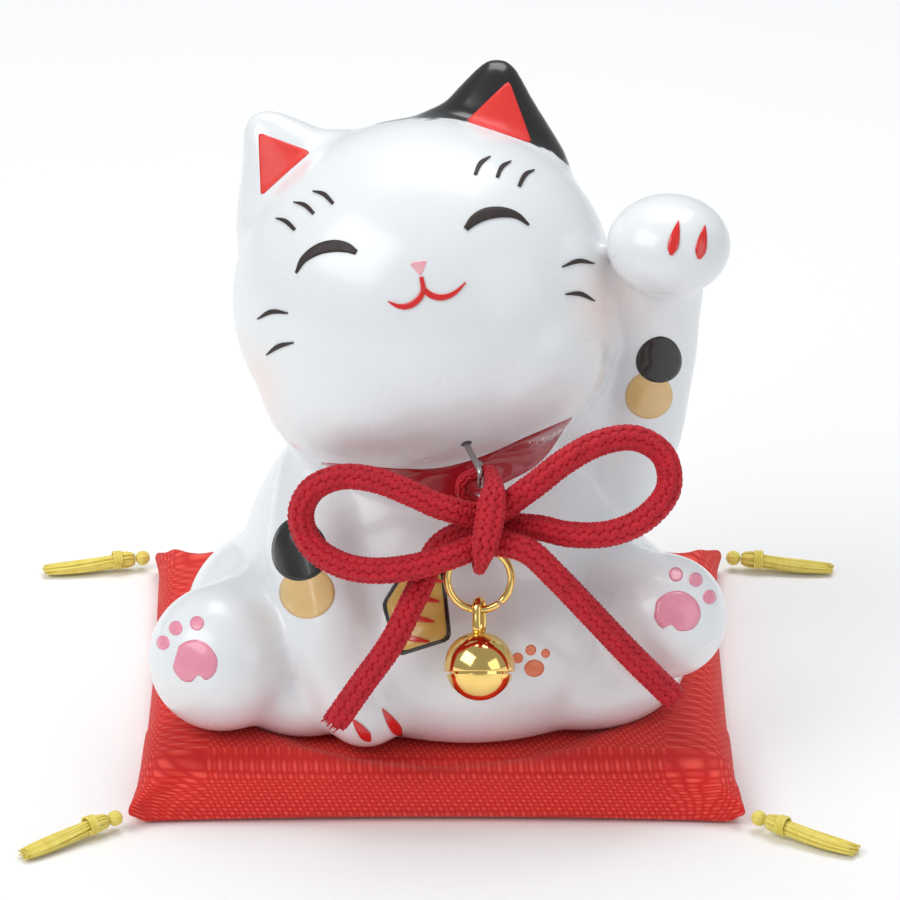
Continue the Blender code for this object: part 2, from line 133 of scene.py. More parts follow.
def area_light(name, at, size, watts, colour):
    data = bpy.data.lights.new(name, "AREA")
    data.shape = "RECTANGLE"
    data.size, data.size_y = size
    data.energy = watts
    data.color = colour
    obj = add_object(name, data)
    obj.location = at
    towards = Vector(LIGHT_TARGET) - obj.location
    obj.rotation_euler = towards.to_track_quat("-Z", "Y").to_euler()


def studio():
    """Big soft boxes on the left, overhead and on the right, in a pale room."""
    for light in LIGHTS:
        area_light(*light)
    world = bpy.data.worlds.new("room")
    world.use_nodes = True
    background = world.node_tree.nodes["Background"]
    background.inputs["Color"].default_value = ROOM_COLOUR
    background.inputs["Strength"].default_value = ROOM_STRENGTH
    bpy.context.scene.world = world
    bpy.context.scene.view_settings.view_transform = "Standard"
    form = bmesh.new()
    bmesh.ops.create_circle(form, cap_ends=True, segments=64, radius=FLOOR_RADIUS)
    floor = add_object("floor", mesh_of(form))
    look = Look("floor_paper", Roughness=0.85)
    look.shader.inputs["Base Color"].default_value = FLOOR_COLOUR
    floor.data.materials.append(look.material)


# ---------------------------------------------------------------- mesh helpers


def mesh_of(form):
    mesh = bpy.data.meshes.new("mesh")
    form.to_mesh(mesh)
    form.free()
    return mesh


def mesh_from(points, faces):
    """A mesh from points in millimetres and faces as lists of indices."""
    mesh = bpy.data.meshes.new("mesh")
    mesh.from_pydata((np.asarray(points, dtype=float) * MM).tolist(), [], faces)
    mesh.shade_smooth()
    return mesh


def piece(name, mesh, look, body, replaces=()):
    """One visible piece of the object, on its body and with its material."""
    obj = add_object(name, mesh)
    mesh.materials.clear()
    mesh.materials.append(look)
    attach(obj, body)
    if replaces:
        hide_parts(*replaces)
    return obj


def settled_mesh(obj):
    """The object's mesh with its modifiers applied. The object is removed."""
    graph = bpy.context.evaluated_depsgraph_get()
    mesh = bpy.data.meshes.new_from_object(obj.evaluated_get(graph))
    bpy.data.objects.remove(obj, do_unlink=True)
    return mesh


def catmull_rom(points, per_span):
    """Rows along a smooth curve through points, each with any number of values."""
    route = np.asarray(points, dtype=float)
    route = np.vstack([2 * route[0] - route[1], route, 2 * route[-1] - route[-2]])
    t = np.linspace(0.0, 1.0, per_span, endpoint=False)[:, None]
    rows = []
    for before, start, end, after in zip(route, route[1:], route[2:], route[3:]):
        bend = 2 * before - 5 * start + 4 * end - after
        twist = 3 * start - 3 * end + after - before
        rows.append(0.5 * (2 * start + (end - before) * t + bend * t**2 + twist * t**3))
    return np.vstack([*rows, route[-2][None]])


def even_route(points, step):
    """The same curve with its rows step millimetres apart, and the distance along it of each row."""
    fine = catmull_rom(points, 40)
    along = np.concatenate([[0.0], np.cumsum(np.linalg.norm(np.diff(fine[:, :3], axis=0), axis=1))])
    count = max(2, round(along[-1] / step))
    wanted = np.linspace(0.0, along[-1], count + 1)
    rows = np.column_stack([np.interp(wanted, along, column) for column in fine.T])
    return rows, wanted


def unit(rows):
    return rows / np.linalg.norm(rows, axis=-1, keepdims=True)


def carried_frames(centres, first=(0.0, 0.0, 1.0)):
    """Tangent, normal and binormal at each row, carried along with no twist."""
    tangents = unit(np.gradient(centres, axis=0))
    normals = np.zeros_like(tangents)
    normal = np.asarray(first, dtype=float)
    for index, tangent in enumerate(tangents):
        normal = normal - tangent * normal.dot(tangent)
        normal /= np.linalg.norm(normal)
        normals[index] = normal
    return tangents, normals, np.cross(tangents, normals)


class Sweep:
    """Tubes collected into one mesh."""

    def __init__(self):
        self.points = []
        self.faces = []
        self.count = 0

    def add(self, centres, side_a, side_b, half_a, half_b, sides=6):
        """A tube whose section is an ellipse on the two side directions, closed at both ends."""
        rows = len(centres)
        angles = np.arange(sides) * math.tau / sides
        half_a = np.broadcast_to(half_a, rows)[:, None, None]
        half_b = np.broadcast_to(half_b, rows)[:, None, None]
        ring = half_a * np.cos(angles)[None, :, None] * side_a[:, None, :]
        ring = ring + half_b * np.sin(angles)[None, :, None] * side_b[:, None, :]
        points = (centres[:, None, :] + ring).reshape(-1, 3)
        base = self.count
        for row in range(rows - 1):
            for side in range(sides):
                near = base + row * sides
                far = near + sides
                after = (side + 1) % sides
                self.faces.append((near + side, near + after, far + after, far + side))
        self.faces.append(tuple(base + side for side in reversed(range(sides))))
        self.faces.append(tuple(base + (rows - 1) * sides + side for side in range(sides)))
        self.points.append(points)
        self.count += len(points)

    def mesh(self):
        return mesh_from(np.vstack(self.points), self.faces)


def round_tube(route, radius, sides=16):
    """A plain round tube along rows of (x, y, z)."""
    centres = np.asarray(route, dtype=float)
    _, normals, binormals = carried_frames(centres, first=(1.0, 0.3, 0.2))
    sweep = Sweep()
    sweep.add(centres, normals, binormals, radius, radius, sides)
    return sweep.mesh()


# ---------------------------------------------------------------- materials


class Look:
    """A node material and short ways to add to it."""

    def __init__(self, name, **sockets):
        self.material = bpy.data.materials.new(name)
        self.material.use_nodes = True
        self.tree = self.material.node_tree
        self.shader = self.tree.nodes["Principled BSDF"]
        for socket, value in sockets.items():
            self.shader.inputs[socket.replace("_", " ")].default_value = value

    def feed(self, socket, value):
        if isinstance(value, bpy.types.NodeSocket):
            self.tree.links.new(value, socket)
        else:
            socket.default_value = value

    def node(self, kind, inputs, **settings):
        made = self.tree.nodes.new("ShaderNode" + kind)
        for setting, value in settings.items():
            setattr(made, setting, value)
        for key, value in inputs.items():
            self.feed(made.inputs[key], value)
        return made

    def place(self):
        """The object's own coordinates, which stay with it when it moves."""
        return self.node("TexCoord", {}).outputs["Object"]

    def math(self, operation, first, second=0.0, clamp=False):
        made = self.node("Math", {0: first, 1: second}, operation=operation, use_clamp=clamp)
        return made.outputs["Value"]

    def noise(self, size, detail=3.0, place=None):
        """Noise whose features are about size millimetres across."""
        inputs = {"Vector": place or self.place(), "Scale": 1.0 / (size * MM), "Detail": detail}
        return self.node("TexNoise", inputs).outputs["Fac"]

    def ramp(self, value, low, high, to_low, to_high):
        inputs = {"Value": value, "From Min": low, "From Max": high, "To Min": to_low, "To Max": to_high}
        return self.node("MapRange", inputs).outputs["Result"]

    def blend(self, share, first, second):
        made = self.node("Mix", {"Factor": share}, data_type="RGBA")
        self.feed(made.inputs[6], first if not isinstance(first, tuple) else (*first, 1.0))
        self.feed(made.inputs[7], second if not isinstance(second, tuple) else (*second, 1.0))
        return made.outputs[2]

    def bump(self, height, depth, strength=1.0):
        """Relief of about depth millimetres."""
        inputs = {"Height": height, "Distance": depth * MM, "Strength": strength}
        normal = self.node("Bump", inputs).outputs["Normal"]
        self.feed(self.shader.inputs["Normal"], normal)

    def colour(self, value):
        self.feed(self.shader.inputs["Base Color"], value)

    def roughness(self, value):
        self.feed(self.shader.inputs["Roughness"], value)


def plane_distance(look, place, matrix, direction, level):
    """How far a point is beyond a plane of a millimetre frame, in millimetres."""
    inverse = matrix.inverted()
    local = inverse.to_3x3().transposed() @ Vector(direction)
    origin = Vector(direction).dot(inverse.translation)
    dot = look.node("VectorMath", {0: place, 1: local}, operation="DOT_PRODUCT").outputs["Value"]
    return look.math("ADD", look.math("MULTIPLY", dot, 1.0 / MM), origin - level)


def ball_share(look, place, centre, radius, soft):
    """1 inside a ball, falling to 0 over soft millimetres."""
    inputs = {0: place, 1: Vector(centre) * MM}
    distance = look.node("VectorMath", inputs, operation="DISTANCE").outputs["Value"]
    return look.ramp(distance, (radius - soft) * MM, (radius + soft) * MM, 1.0, 0.0)


def glaze():
    """White glaze over the clay: the black ear, a faint blush on the cheeks, and a bare foot."""
    look = Look("white_glaze", Coat_Weight=0.4, Coat_Roughness=0.12)
    place = look.place()
    cloud = look.noise(9.0, 2.0, place)
    white = look.blend(cloud, (0.80, 0.835, 0.86), (0.86, 0.88, 0.895))
    for centre in BLUSHES:
        share = look.math("MULTIPLY", ball_share(look, place, centre, 3.6, 4.0), 0.55)
        white = look.blend(share, white, (0.95, 0.66, 0.55))
    wobble = look.math("MULTIPLY", look.math("SUBTRACT", look.noise(2.5, 1.0, place), 0.5), 1.1)
    height = plane_distance(look, place, head_frame(), EAR_UP, EAR_PATCH_LEVEL)
    along = plane_distance(look, place, head_frame(), EAR_ACROSS, EAR_PATCH_MIDDLE)
    sag = look.math("MULTIPLY", look.math("MULTIPLY", along, along), EAR_PATCH_SAG)
    height = look.math("ADD", look.math("ADD", height, sag), wobble)
    on_this_ear = look.math("LESS_THAN", look.math("ABSOLUTE", along), EAR_PATCH_REACH)
    black = look.math("MULTIPLY", look.ramp(height, -0.1, 0.1, 0.0, 1.0), on_this_ear)
    paint = look.blend(black, white, (0.012, 0.011, 0.012))
    height = look.node("SeparateXYZ", {"Vector": place}).outputs["Z"]
    bare = look.ramp(height, (BASE_Z + 0.05) * MM, (BASE_Z + 0.35) * MM, 1.0, 0.0)
    clay = look.blend(look.noise(0.5, 4.0, place), (0.62, 0.56, 0.48), (0.75, 0.70, 0.62))
    look.colour(look.blend(bare, paint, clay))
    gloss = look.ramp(look.noise(14.0, 2.0, place), 0.3, 0.7, 0.24, 0.32)
    look.roughness(look.math("ADD", gloss, look.math("MULTIPLY", bare, 0.6)))
    look.bump(look.noise(3.2, 2.0, place), 0.02)
    return look.material


def paint_look(name, dark, light, roughness=0.16, grain=0.8, coat=0.5):
    """Overglaze paint: its colour drifts between two tones, and brushing shows as a faint relief."""
    look = Look(name, Coat_Weight=coat, Coat_Roughness=0.04)
    place = look.place()
    look.colour(look.blend(look.noise(grain, 4.0, place), dark, light))
    look.roughness(look.ramp(look.noise(grain * 1.7, 3.0, place), 0.3, 0.7, roughness, roughness + 0.10))
    look.bump(look.noise(grain * 0.6, 3.0, place), 0.012)
    return look.material


def gold(name):
    """Bright plating with a slight orange skin and the fine wear of handling."""
    look = Look(name, Metallic=1.0)
    place = look.place()
    look.colour(look.blend(look.noise(1.6, 4.0, place), (0.93, 0.62, 0.17), (1.0, 0.74, 0.28)))
    look.roughness(look.ramp(look.noise(0.35, 5.0, place), 0.35, 0.75, 0.05, 0.16))
    look.bump(look.noise(0.9, 2.0, place), 0.006)
    return look.material


def steel(name, dark, light):
    look = Look(name, Metallic=1.0)
    place = look.place()
    look.colour(look.blend(look.noise(0.5, 5.0, place), dark, light))
    look.roughness(look.ramp(look.noise(0.3, 4.0, place), 0.3, 0.7, 0.22, 0.42))
    look.bump(look.noise(0.25, 3.0, place), 0.01)
    return look.material


def yarn_look(name, dark, light, sheen_tint, fibre=0.09):
    """Soft synthetic yarn: fine fibres with painted shade between them, where their relief is low, and a pale
    sheen.
    """
    look = Look(name, Sheen_Weight=0.30, Sheen_Roughness=0.35, Specular_IOR_Level=0.35)
    look.shader.inputs["Sheen Tint"].default_value = (*sheen_tint, 1.0)
    place = look.place()
    fine = look.noise(fibre, 3.0, place)
    patch = look.noise(1.3, 3.0, place)
    # Painted shade: the colour is darkest where the fine fibre noise, which also sets the relief, is low; the
    # larger patch noise adds random tone
    shade = look.math("ADD", look.math("MULTIPLY", fine, 0.7), look.math("MULTIPLY", patch, 0.5))
    look.colour(look.blend(look.ramp(shade, 0.35, 0.85, 0.0, 1.0), dark, light))
    look.roughness(look.ramp(fine, 0.3, 0.7, 0.42, 0.62))
    look.bump(fine, 0.05)
    return look.material


def weave_axis(look, along, height, half):
    """A coordinate that follows the cloth over its rounded edge: the plain one, less the drop at the edge."""
    reach = look.ramp(look.math("ABSOLUTE", along), (half - 9.0) * MM, (half - 3.0) * MM, 0.0, 1.0)
    side = look.math("SIGN", along)
    drop = look.math("MULTIPLY", look.math("MULTIPLY", height, reach), side)
    return look.math("SUBTRACT", along, drop)


def cloth():
    """Red ribbed weave: thick weft ribs crossed by fine warp, each over and under the other."""
    look = Look("red_cloth", Sheen_Weight=0.25, Sheen_Roughness=0.4, Specular_IOR_Level=0.3)
    look.shader.inputs["Sheen Tint"].default_value = (1.0, 0.55, 0.5, 1.0)
    place = look.place()
    split = look.node("SeparateXYZ", {"Vector": place}).outputs
    x = weave_axis(look, split["X"], split["Z"], CUSHION_HALF[0])
    y = weave_axis(look, split["Y"], split["Z"], CUSHION_HALF[1])
    slant = look.math("ADD", x, look.math("MULTIPLY", y, 0.35))
    warp = look.math("ABSOLUTE", look.math("SINE", look.math("MULTIPLY", slant, math.pi / (0.62 * MM))))
    weft = look.math("ABSOLUTE", look.math("SINE", look.math("MULTIPLY", y, math.pi / (0.55 * MM))))
    flat = look.node("CombineXYZ", {"X": slant, "Y": y, "Z": 0.0}).outputs["Vector"]
    stretched = look.node(
        "VectorMath", {0: flat, 1: (1 / (0.62 * MM), 1 / (0.55 * MM), 1.0)}, operation="MULTIPLY"
    ).outputs["Vector"]
    lifted = look.node("VectorMath", {0: stretched, 1: (0.0, 0.0, 0.5)}, operation="ADD").outputs["Vector"]
    over = look.node("TexChecker", {"Vector": lifted, "Scale": 1.0}).outputs["Fac"]
    crossing = look.math("MULTIPLY", warp, weft)
    raised = look.ramp(over, 0.0, 1.0, 0.45, 1.0)
    height = look.math("MULTIPLY", crossing, raised)
    fibre = look.noise(0.12, 3.0, place)
    uneven = look.noise(7.0, 3.0, place)
    # Painted shade and painted highlight: the colour runs from a darker red where the threads dip under to a
    # brighter red on their raised tops, following the weave's relief; both reds also vary at random
    uneven_dip_shade_red = look.blend(uneven, (0.56, 0.008, 0.008), (0.66, 0.014, 0.012))
    bright = look.blend(fibre, (0.86, 0.045, 0.03), (0.95, 0.10, 0.07))
    look.colour(look.blend(look.ramp(height, 0.05, 0.85, 0.0, 1.0), uneven_dip_shade_red, bright))
    look.roughness(look.ramp(height, 0.0, 1.0, 0.75, 0.5))
    relief = look.math("ADD", height, look.math("MULTIPLY", fibre, 0.25))
    look.bump(relief, 0.10)
    return look.material


def wadding():
    look = Look("wadding", Roughness=0.95)
    place = look.place()
    fibre = look.noise(0.6, 6.0, place)
    look.colour(look.blend(fibre, (0.72, 0.70, 0.64), (0.9, 0.88, 0.83)))
    look.bump(fibre, 0.4)
    return look.material


# ---------------------------------------------------------------- the cat


def limb(*balls):
    chain = []
    for first, second in zip(balls, balls[1:]):
        first, second = Vector(first), Vector(second)
        count = max(1, math.ceil((second - first).length / (0.3 * min(first.w, second.w))))
        chain += [tuple(first.lerp(second, index / count)) for index in range(count)]
    return [*chain, balls[-1]]


def head_frame():
    """The head's own frame in millimetres: x across the face, y into it, z up it."""
    turn = Matrix.Rotation(-FACE_PITCH, 4, "X") @ Matrix.Rotation(-HEAD_ROLL, 4, "Y")
    return Matrix.Translation(Vector(HEAD_CENTRE)) @ turn


def front_frame():
    """A frame in millimetres that is pitched as the face is but not rolled, for the body's marks."""
    return Matrix.Rotation(-FACE_PITCH, 4, "X")


BLUSHES = ((-19.2, -10.5, 46.0), (17.8, -9.5, 54.5))
# The black ear's patch, in the head's frame: it starts at a level up the ear that sags to both sides
EAR_UP = (0.46, 0.0, 0.888)
EAR_ACROSS = (0.888, 0.0, -0.46)
EAR_PATCH_LEVEL = 20.4
EAR_PATCH_MIDDLE = 2.7
EAR_PATCH_SAG = 0.018
EAR_PATCH_REACH = 13.0


def head_forms():
    base = (7.0, 1.0, 12.2, 8.8)
    shoulder = (11.6, 1.0, 10.5, 8.4)
    middle = (11.9, 0.5, 17.5, 5.8)
    tip = (13.7, 0.0, 22.2, 2.9)
    forms = [(head_frame(), HEAD_HALF)]
    for side in (-1, 1):
        cheek = Matrix.Translation((side * 7.0, -1.0, -7.5))
        forms.append((head_frame() @ cheek, CHEEK_HALF))
        for x, y, z, radius in limb(base, shoulder, middle, tip):
            place = Matrix.Translation((side * x, y, z))
            forms.append((head_frame() @ place, (radius, EAR_THINNESS * radius, radius)))
    return forms


def body_forms():
    ellipsoids = [
        ((0.5, 1.0, 14.0), (24.3, 23.5, 26.5)),  # torso
        ((3.5, -9.5, 13.5), (20.0, 17.0, 13.5)),  # belly
        ((-16.5, -2.0, 12.0), (13.5, 18.0, 9.0)),  # right haunch
        ((-15.5, -13.0, 9.5), (9.5, 11.0, 6.5)),  # right shin
        ((17.5, -4.0, 12.5), (13.0, 17.5, 9.5)),  # left haunch
        ((17.0, -10.0, 10.0), (12.5, 13.0, 7.0)),  # left shin
        ((0.0, -2.0, 34.0), (15.5, 13.0, 8.0)),  # neck
        ((15.5, 1.0, 38.0), (9.0, 8.0, 11.0)),  # left shoulder
        ((26.5, -8.5, 62.2), (7.3, 7.0, 5.9)),  # raised paw
    ]
    limbs = [
        limb(  # lowered arm
            (-13.0, -5.0, 31.0, 6.0), (-13.8, -13.0, 26.0, 6.2),
            (-12.0, -19.0, 17.0, 5.9), (-8.3, -22.5, 10.6, 5.4),
        ),
        limb(  # raised arm
            (20.0, 1.0, 27.0, 6.5), (23.4, -1.0, 36.0, 5.6),
            (25.4, -2.0, 46.0, 5.0), (25.8, -4.0, 58.0, 5.3),
        ),
        limb((-19.0, -8.0, 13.0, 8.0), (-25.0, -18.5, 14.4, 8.7)),  # right foot
        limb((19.5, -8.0, 16.0, 7.8), (26.4, -18.0, 19.5, 7.4)),  # left foot
        limb((4.0, 22.0, 11.0, 3.6), (10.5, 24.0, 11.5, 3.6), (15.0, 22.0, 15.0, 3.4)),  # tail
    ]
    forms = [(Matrix.Translation(Vector(centre)), half) for centre, half in ellipsoids]
    for x, y, z, radius in (ball for chain in limbs for ball in chain):
        forms.append((Matrix.Translation(Vector((x, y, z))), (radius,) * 3))
    return forms


def fused_skin(forms, voxel=0.55, smoothing=42):
    """All the forms run together into one smooth closed skin."""
    ball = bmesh.new()
    bmesh.ops.create_uvsphere(ball, u_segments=48, v_segments=32, radius=1.0)
    ball_mesh = mesh_of(ball)
    form = bmesh.new()
    for matrix, half in forms:
        form.from_mesh(ball_mesh)
        form.verts.ensure_lookup_table()
        placed = Matrix.Scale(MM, 4) @ matrix @ Matrix.Diagonal((*half, 1.0))
        bmesh.ops.transform(form, matrix=placed, verts=form.verts[-len(ball_mesh.vertices):])
    obj = add_object("skin", mesh_of(form))
    remesh = obj.modifiers.new("Fuse", "REMESH")
    remesh.mode = "VOXEL"
    remesh.voxel_size = voxel * MM
    smooth = obj.modifiers.new("Smooth", "SMOOTH")
    smooth.factor = 0.5
    smooth.iterations = smoothing
    return settled_mesh(obj)


def tree_of(mesh):
    points = [vertex.co / MM for vertex in mesh.vertices]
    return BVHTree.FromPolygons(points, [tuple(face.vertices) for face in mesh.polygons])


def box_cutter(matrix):
    """A unit cube as matrix places and stretches it, in metres."""
    form = bmesh.new()
    bmesh.ops.create_cube(form, size=1.0, matrix=matrix)
    return add_object("cutter", mesh_of(form))


def hole_cutter(radius, depth, matrix, segments):
    """A cylinder along the z of a frame. The lengths are in millimetres, and the frame is in metres."""
    form = bmesh.new()
    bmesh.ops.create_cone(
        form,
        cap_ends=True,
        segments=segments,
        radius1=radius * MM,
        radius2=radius * MM,
        depth=depth * MM,
        matrix=matrix,
    )
    return add_object("cutter", mesh_of(form))


def cut_mesh(obj, cutters):
    """The object's mesh with every cutter taken out of it. The cutters are removed."""
    for tool in cutters:
        boolean = obj.modifiers.new("Cut", "BOOLEAN")
        boolean.object = tool
    mesh = settled_mesh(obj)
    for tool in cutters:
        bpy.data.objects.remove(tool, do_unlink=True)
    return mesh


def cat(skin, look):
    """The glazed body, cut flat at its foot, with the drain hole and the wire's hole in the chin."""
    below = Matrix.Translation((0.0, 0.0, (BASE_Z - FOOT_CUT / 2) * MM))
    cutters = [box_cutter(below @ Matrix.Diagonal((0.1, 0.1, FOOT_CUT * MM, 1.0)))]
    for radius, depth, matrix in (
        (DRAIN_RADIUS, DRAIN_DEPTH, Matrix.Translation((*DRAIN_AT, BASE_Z))),
        (WIRE_RADIUS + 0.3, WIRE_SOCKET_DEPTH, wire_socket_frame()),
    ):
        placed = Matrix.Scale(MM, 4) @ matrix @ Matrix.Scale(1 / MM, 4)
        cutters.append(hole_cutter(radius, depth, placed, 48))
    mesh = cut_mesh(add_object("cat_rough", skin), cutters)
    mesh.shade_smooth()
    mesh.set_sharp_from_angle(angle=math.radians(50))
    piece("glazed_cat", mesh, look, "figurine", ["figurine_body"])


# ---------------------------------------------------------------- painted marks


PAINT_BODY = 0.12  # thickness of a painted mark


def grid_faces(rows, columns):
    """The faces of a grid of points, numbered row by row."""
    width = columns + 1
    faces = []
    for row in range(rows):
        for column in range(columns):
            corner = row * width + column
            faces.append((corner, corner + 1, corner + width + 1, corner + width))
    return faces


class Paint:
    """One colour's marks, laid on the cat as thin raised patches."""

    def __init__(self, tree, lift=0.035):
        self.tree = tree
        self.lift = lift
        self.form = bmesh.new()

    def spot_on(self, matrix, u, v):
        """Where a mark's point (u, v) of a frame lands on the cat, and the surface's direction there."""
        start = matrix @ Vector((u, -90.0, v))
        along = matrix.to_3x3() @ Vector((0.0, 1.0, 0.0))
        point, normal, _, _ = self.tree.ray_cast(start, along)
        return point, normal

    def patch(self, matrix, grid, faces):
        placed = [self.spot_on(matrix, u, v) for u, v in grid]
        verts = []
        for point, normal in placed:
            verts.append(self.form.verts.new((point + self.lift * normal) * MM) if point else None)
        for face in faces:
            corners = [verts[index] for index in face]
            if all(corners):
                self.form.faces.new(corners)

    def stroke(self, matrix, points, rows=4.0, columns=4):
        """A brush stroke along (u, v, half width) points."""
        line, _ = even_route([(u, v, 0.0, half) for u, v, half in points], 1.0 / rows)
        tangent = unit(np.gradient(line[:, :2], axis=0))
        side = np.column_stack([-tangent[:, 1], tangent[:, 0]])
        across = np.linspace(1.0, -1.0, columns + 1)
        grid = line[:, None, :2] + across[None, :, None] * line[:, 3][:, None, None] * side[:, None, :]
        faces = grid_faces(len(line) - 1, columns)
        self.patch(matrix, grid.reshape(-1, 2), [face[::-1] for face in faces])

    def blob(self, matrix, outline, rings=6):
        """A filled outline, given counter-clockwise, as rings about its middle."""
        outline = np.asarray(outline, dtype=float)
        middle = outline.mean(axis=0)
        count = len(outline)
        grid = [tuple(middle)]
        for ring in range(1, rings + 1):
            grid += [tuple(row) for row in middle + (outline - middle) * ring / rings]
        faces = [(0, 1 + index, 1 + (index + 1) % count) for index in range(count)]
        for ring in range(rings - 1):
            inner = 1 + ring * count
            outer = inner + count
            for index in range(count):
                after = (index + 1) % count
                faces.append((inner + index, outer + index, outer + after, inner + after))
        self.patch(matrix, grid, faces)

    def band(self, matrix, lower, upper, rows=7, columns=40):
        """A patch between a lower and an upper edge, each a few (u, v) points from left to right."""
        edges = []
        for edge in (lower, upper):
            line, along = even_route([(u, v, 0.0) for u, v in edge], 0.25)
            wanted = np.linspace(0.0, along[-1], columns + 1)
            edges.append(np.column_stack([np.interp(wanted, along, line[:, axis]) for axis in (0, 1)]))
        share = np.linspace(0.0, 1.0, rows + 1)[:, None, None]
        grid = (edges[0] * (1 - share) + edges[1] * share).reshape(-1, 2)
        self.patch(matrix, grid, grid_faces(rows, columns))

    def finish(self, name, look):
        mesh = mesh_of(self.form)
        mesh.shade_smooth()
        obj = piece(name, mesh, look, "figurine")
        thick = obj.modifiers.new("Body", "SOLIDIFY")
        thick.thickness = PAINT_BODY * MM
        thick.offset = -1.0
        return obj


def oval(u, v, half_u, half_v, tilt=0.0, egg=0.0, count=40):
    """An oval outline. Egg above 0 makes its top narrower."""
    outline = []
    for index in range(count):
        angle = math.tau * index / count
        across = half_u * math.cos(angle) * (1 - egg * math.sin(angle))
        up = half_v * math.sin(angle)
        turn = math.radians(tilt)
        outline.append((
            u + across * math.cos(turn) - up * math.sin(turn),
            v + across * math.sin(turn) + up * math.cos(turn),
        ))
    return outline


def rounded(corners, per_span=8, pull=0.12):
    """A closed outline with nearly straight sides through counter-clockwise corners, softly rounded."""
    points = []
    count = len(corners)
    for index in range(count):
        before = Vector(corners[index - 1])
        corner = Vector(corners[index])
        after = Vector(corners[(index + 1) % count])
        start = corner.lerp(before, pull)
        end = corner.lerp(after, pull)
        for step in range(per_span):
            t = step / (per_span - 1)
            points.append(tuple(start.lerp(corner, t).lerp(corner.lerp(end, t), t)))
    return spread(points, 48)


def spread(points, count):
    """A closed outline with its points evenly spread."""
    loop = np.asarray([*points, points[0]], dtype=float)
    along = np.concatenate([[0.0], np.cumsum(np.linalg.norm(np.diff(loop, axis=0), axis=1))])
    wanted = np.linspace(0.0, along[-1], count, endpoint=False)
    return np.column_stack([np.interp(wanted, along, loop[:, axis]) for axis in (0, 1)]).tolist()


def smooth_outline(points, count=48):
    """A closed smooth outline through counter-clockwise points."""
    loop = [points[-1], *points, points[0], points[1]]
    steps = 12
    fine = catmull_rom([(*point, 0.0) for point in loop], steps)[steps:-2 * steps - 1, :2]
    return spread([tuple(row) for row in fine], count)


def face_marks(tree):
    head = head_frame()
    ink = paint_look("brown_black_ink", (0.020, 0.012, 0.012), (0.040, 0.022, 0.022), 0.5, 0.8, 0.0)
    eyes = Paint(tree)
    eyes.stroke(head, [
        (-13.6, 4.9, 0.10), (-12.4, 6.2, 0.38), (-10.6, 6.9, 0.60),
        (-8.8, 6.9, 0.68), (-7.4, 6.4, 0.58), (-6.4, 5.6, 0.30),
    ], rows=6)
    eyes.stroke(head, [
        (6.2, 5.5, 0.30), (7.4, 6.3, 0.58), (8.9, 6.7, 0.68),
        (10.7, 6.5, 0.58), (12.2, 5.8, 0.36), (13.3, 4.5, 0.10),
    ], rows=6)
    eyes.finish("eye_strokes", ink)
    brows = Paint(tree)
    for stroke in (
        ((-14.6, 11.7), (-13.5, 11.0), (-12.7, 9.8)),
        ((-12.2, 13.0), (-11.0, 12.3), (-10.2, 11.1)),
        ((-9.8, 13.7), (-8.6, 13.0), (-7.8, 11.7)),
        ((10.8, 13.2), (9.5, 12.6), (8.6, 11.4)),
        ((13.0, 12.2), (11.8, 11.7), (11.0, 10.6)),
        ((15.4, 10.7), (14.2, 10.3), (13.2, 9.1)),
    ):
        a, b, c = stroke
        brows.stroke(head, [(*a, 0.05), (*b, 0.25), (*c, 0.20)], rows=8)
    brows.finish("brow_strokes", ink)
    whiskers = Paint(tree)
    for a, b, c in (
        ((-19.1, 0.9), (-17.3, 1.3), (-15.5, 0.7)),
        ((-19.0, -3.3), (-17.4, -2.7), (-15.6, -2.7)),
        ((16.0, -0.9), (18.0, -0.6), (19.8, -1.2)),
        ((15.7, -4.0), (17.4, -4.3), (18.9, -5.4)),
    ):
        inner, outer = (c, a) if a[0] < 0 else (a, c)
        whiskers.stroke(head, [(*inner, 0.08), (*b, 0.27), (*outer, 0.06)], rows=6)
    whiskers.finish("whisker_strokes", ink)
    nose = Paint(tree)
    nose.blob(head, rounded([(0.1, 1.3), (1.3, 3.0), (-0.9, 3.1)], pull=0.25))
    nose.finish("nose_paint", paint_look("nose_pink", (0.86, 0.36, 0.42), (0.92, 0.50, 0.54)))
    red = paint_look("mouth_red", (0.62, 0.012, 0.012), (0.80, 0.03, 0.025))
    mouth = Paint(tree, lift=0.045)
    mouth.stroke(head, [
        (-4.1, -0.6, 0.06), (-3.2, -1.3, 0.24), (-2.2, -1.6, 0.34),
        (-1.0, -1.3, 0.36), (0.0, -0.3, 0.30), (0.15, 1.3, 0.22),
    ], rows=8)
    mouth.stroke(head, [
        (0.1, -0.1, 0.26), (0.8, -1.0, 0.36), (2.0, -1.5, 0.34), (3.4, -1.3, 0.24), (4.9, -0.4, 0.06),
    ], rows=8)
    mouth.finish("mouth_strokes", red)
    linings = Paint(tree)
    linings.blob(head, rounded([(-14.6, 22.2), (-15.9, 14.8), (-9.1, 18.6)], pull=0.07), rings=10)
    linings.blob(head, rounded([(15.0, 21.8), (9.0, 18.1), (16.0, 13.9)], pull=0.07), rings=10)
    ear_red = paint_look("ear_red", (0.72, 0.016, 0.014), (0.86, 0.05, 0.035), 0.42, 0.35, 0.1)
    linings.finish("ear_linings", ear_red)


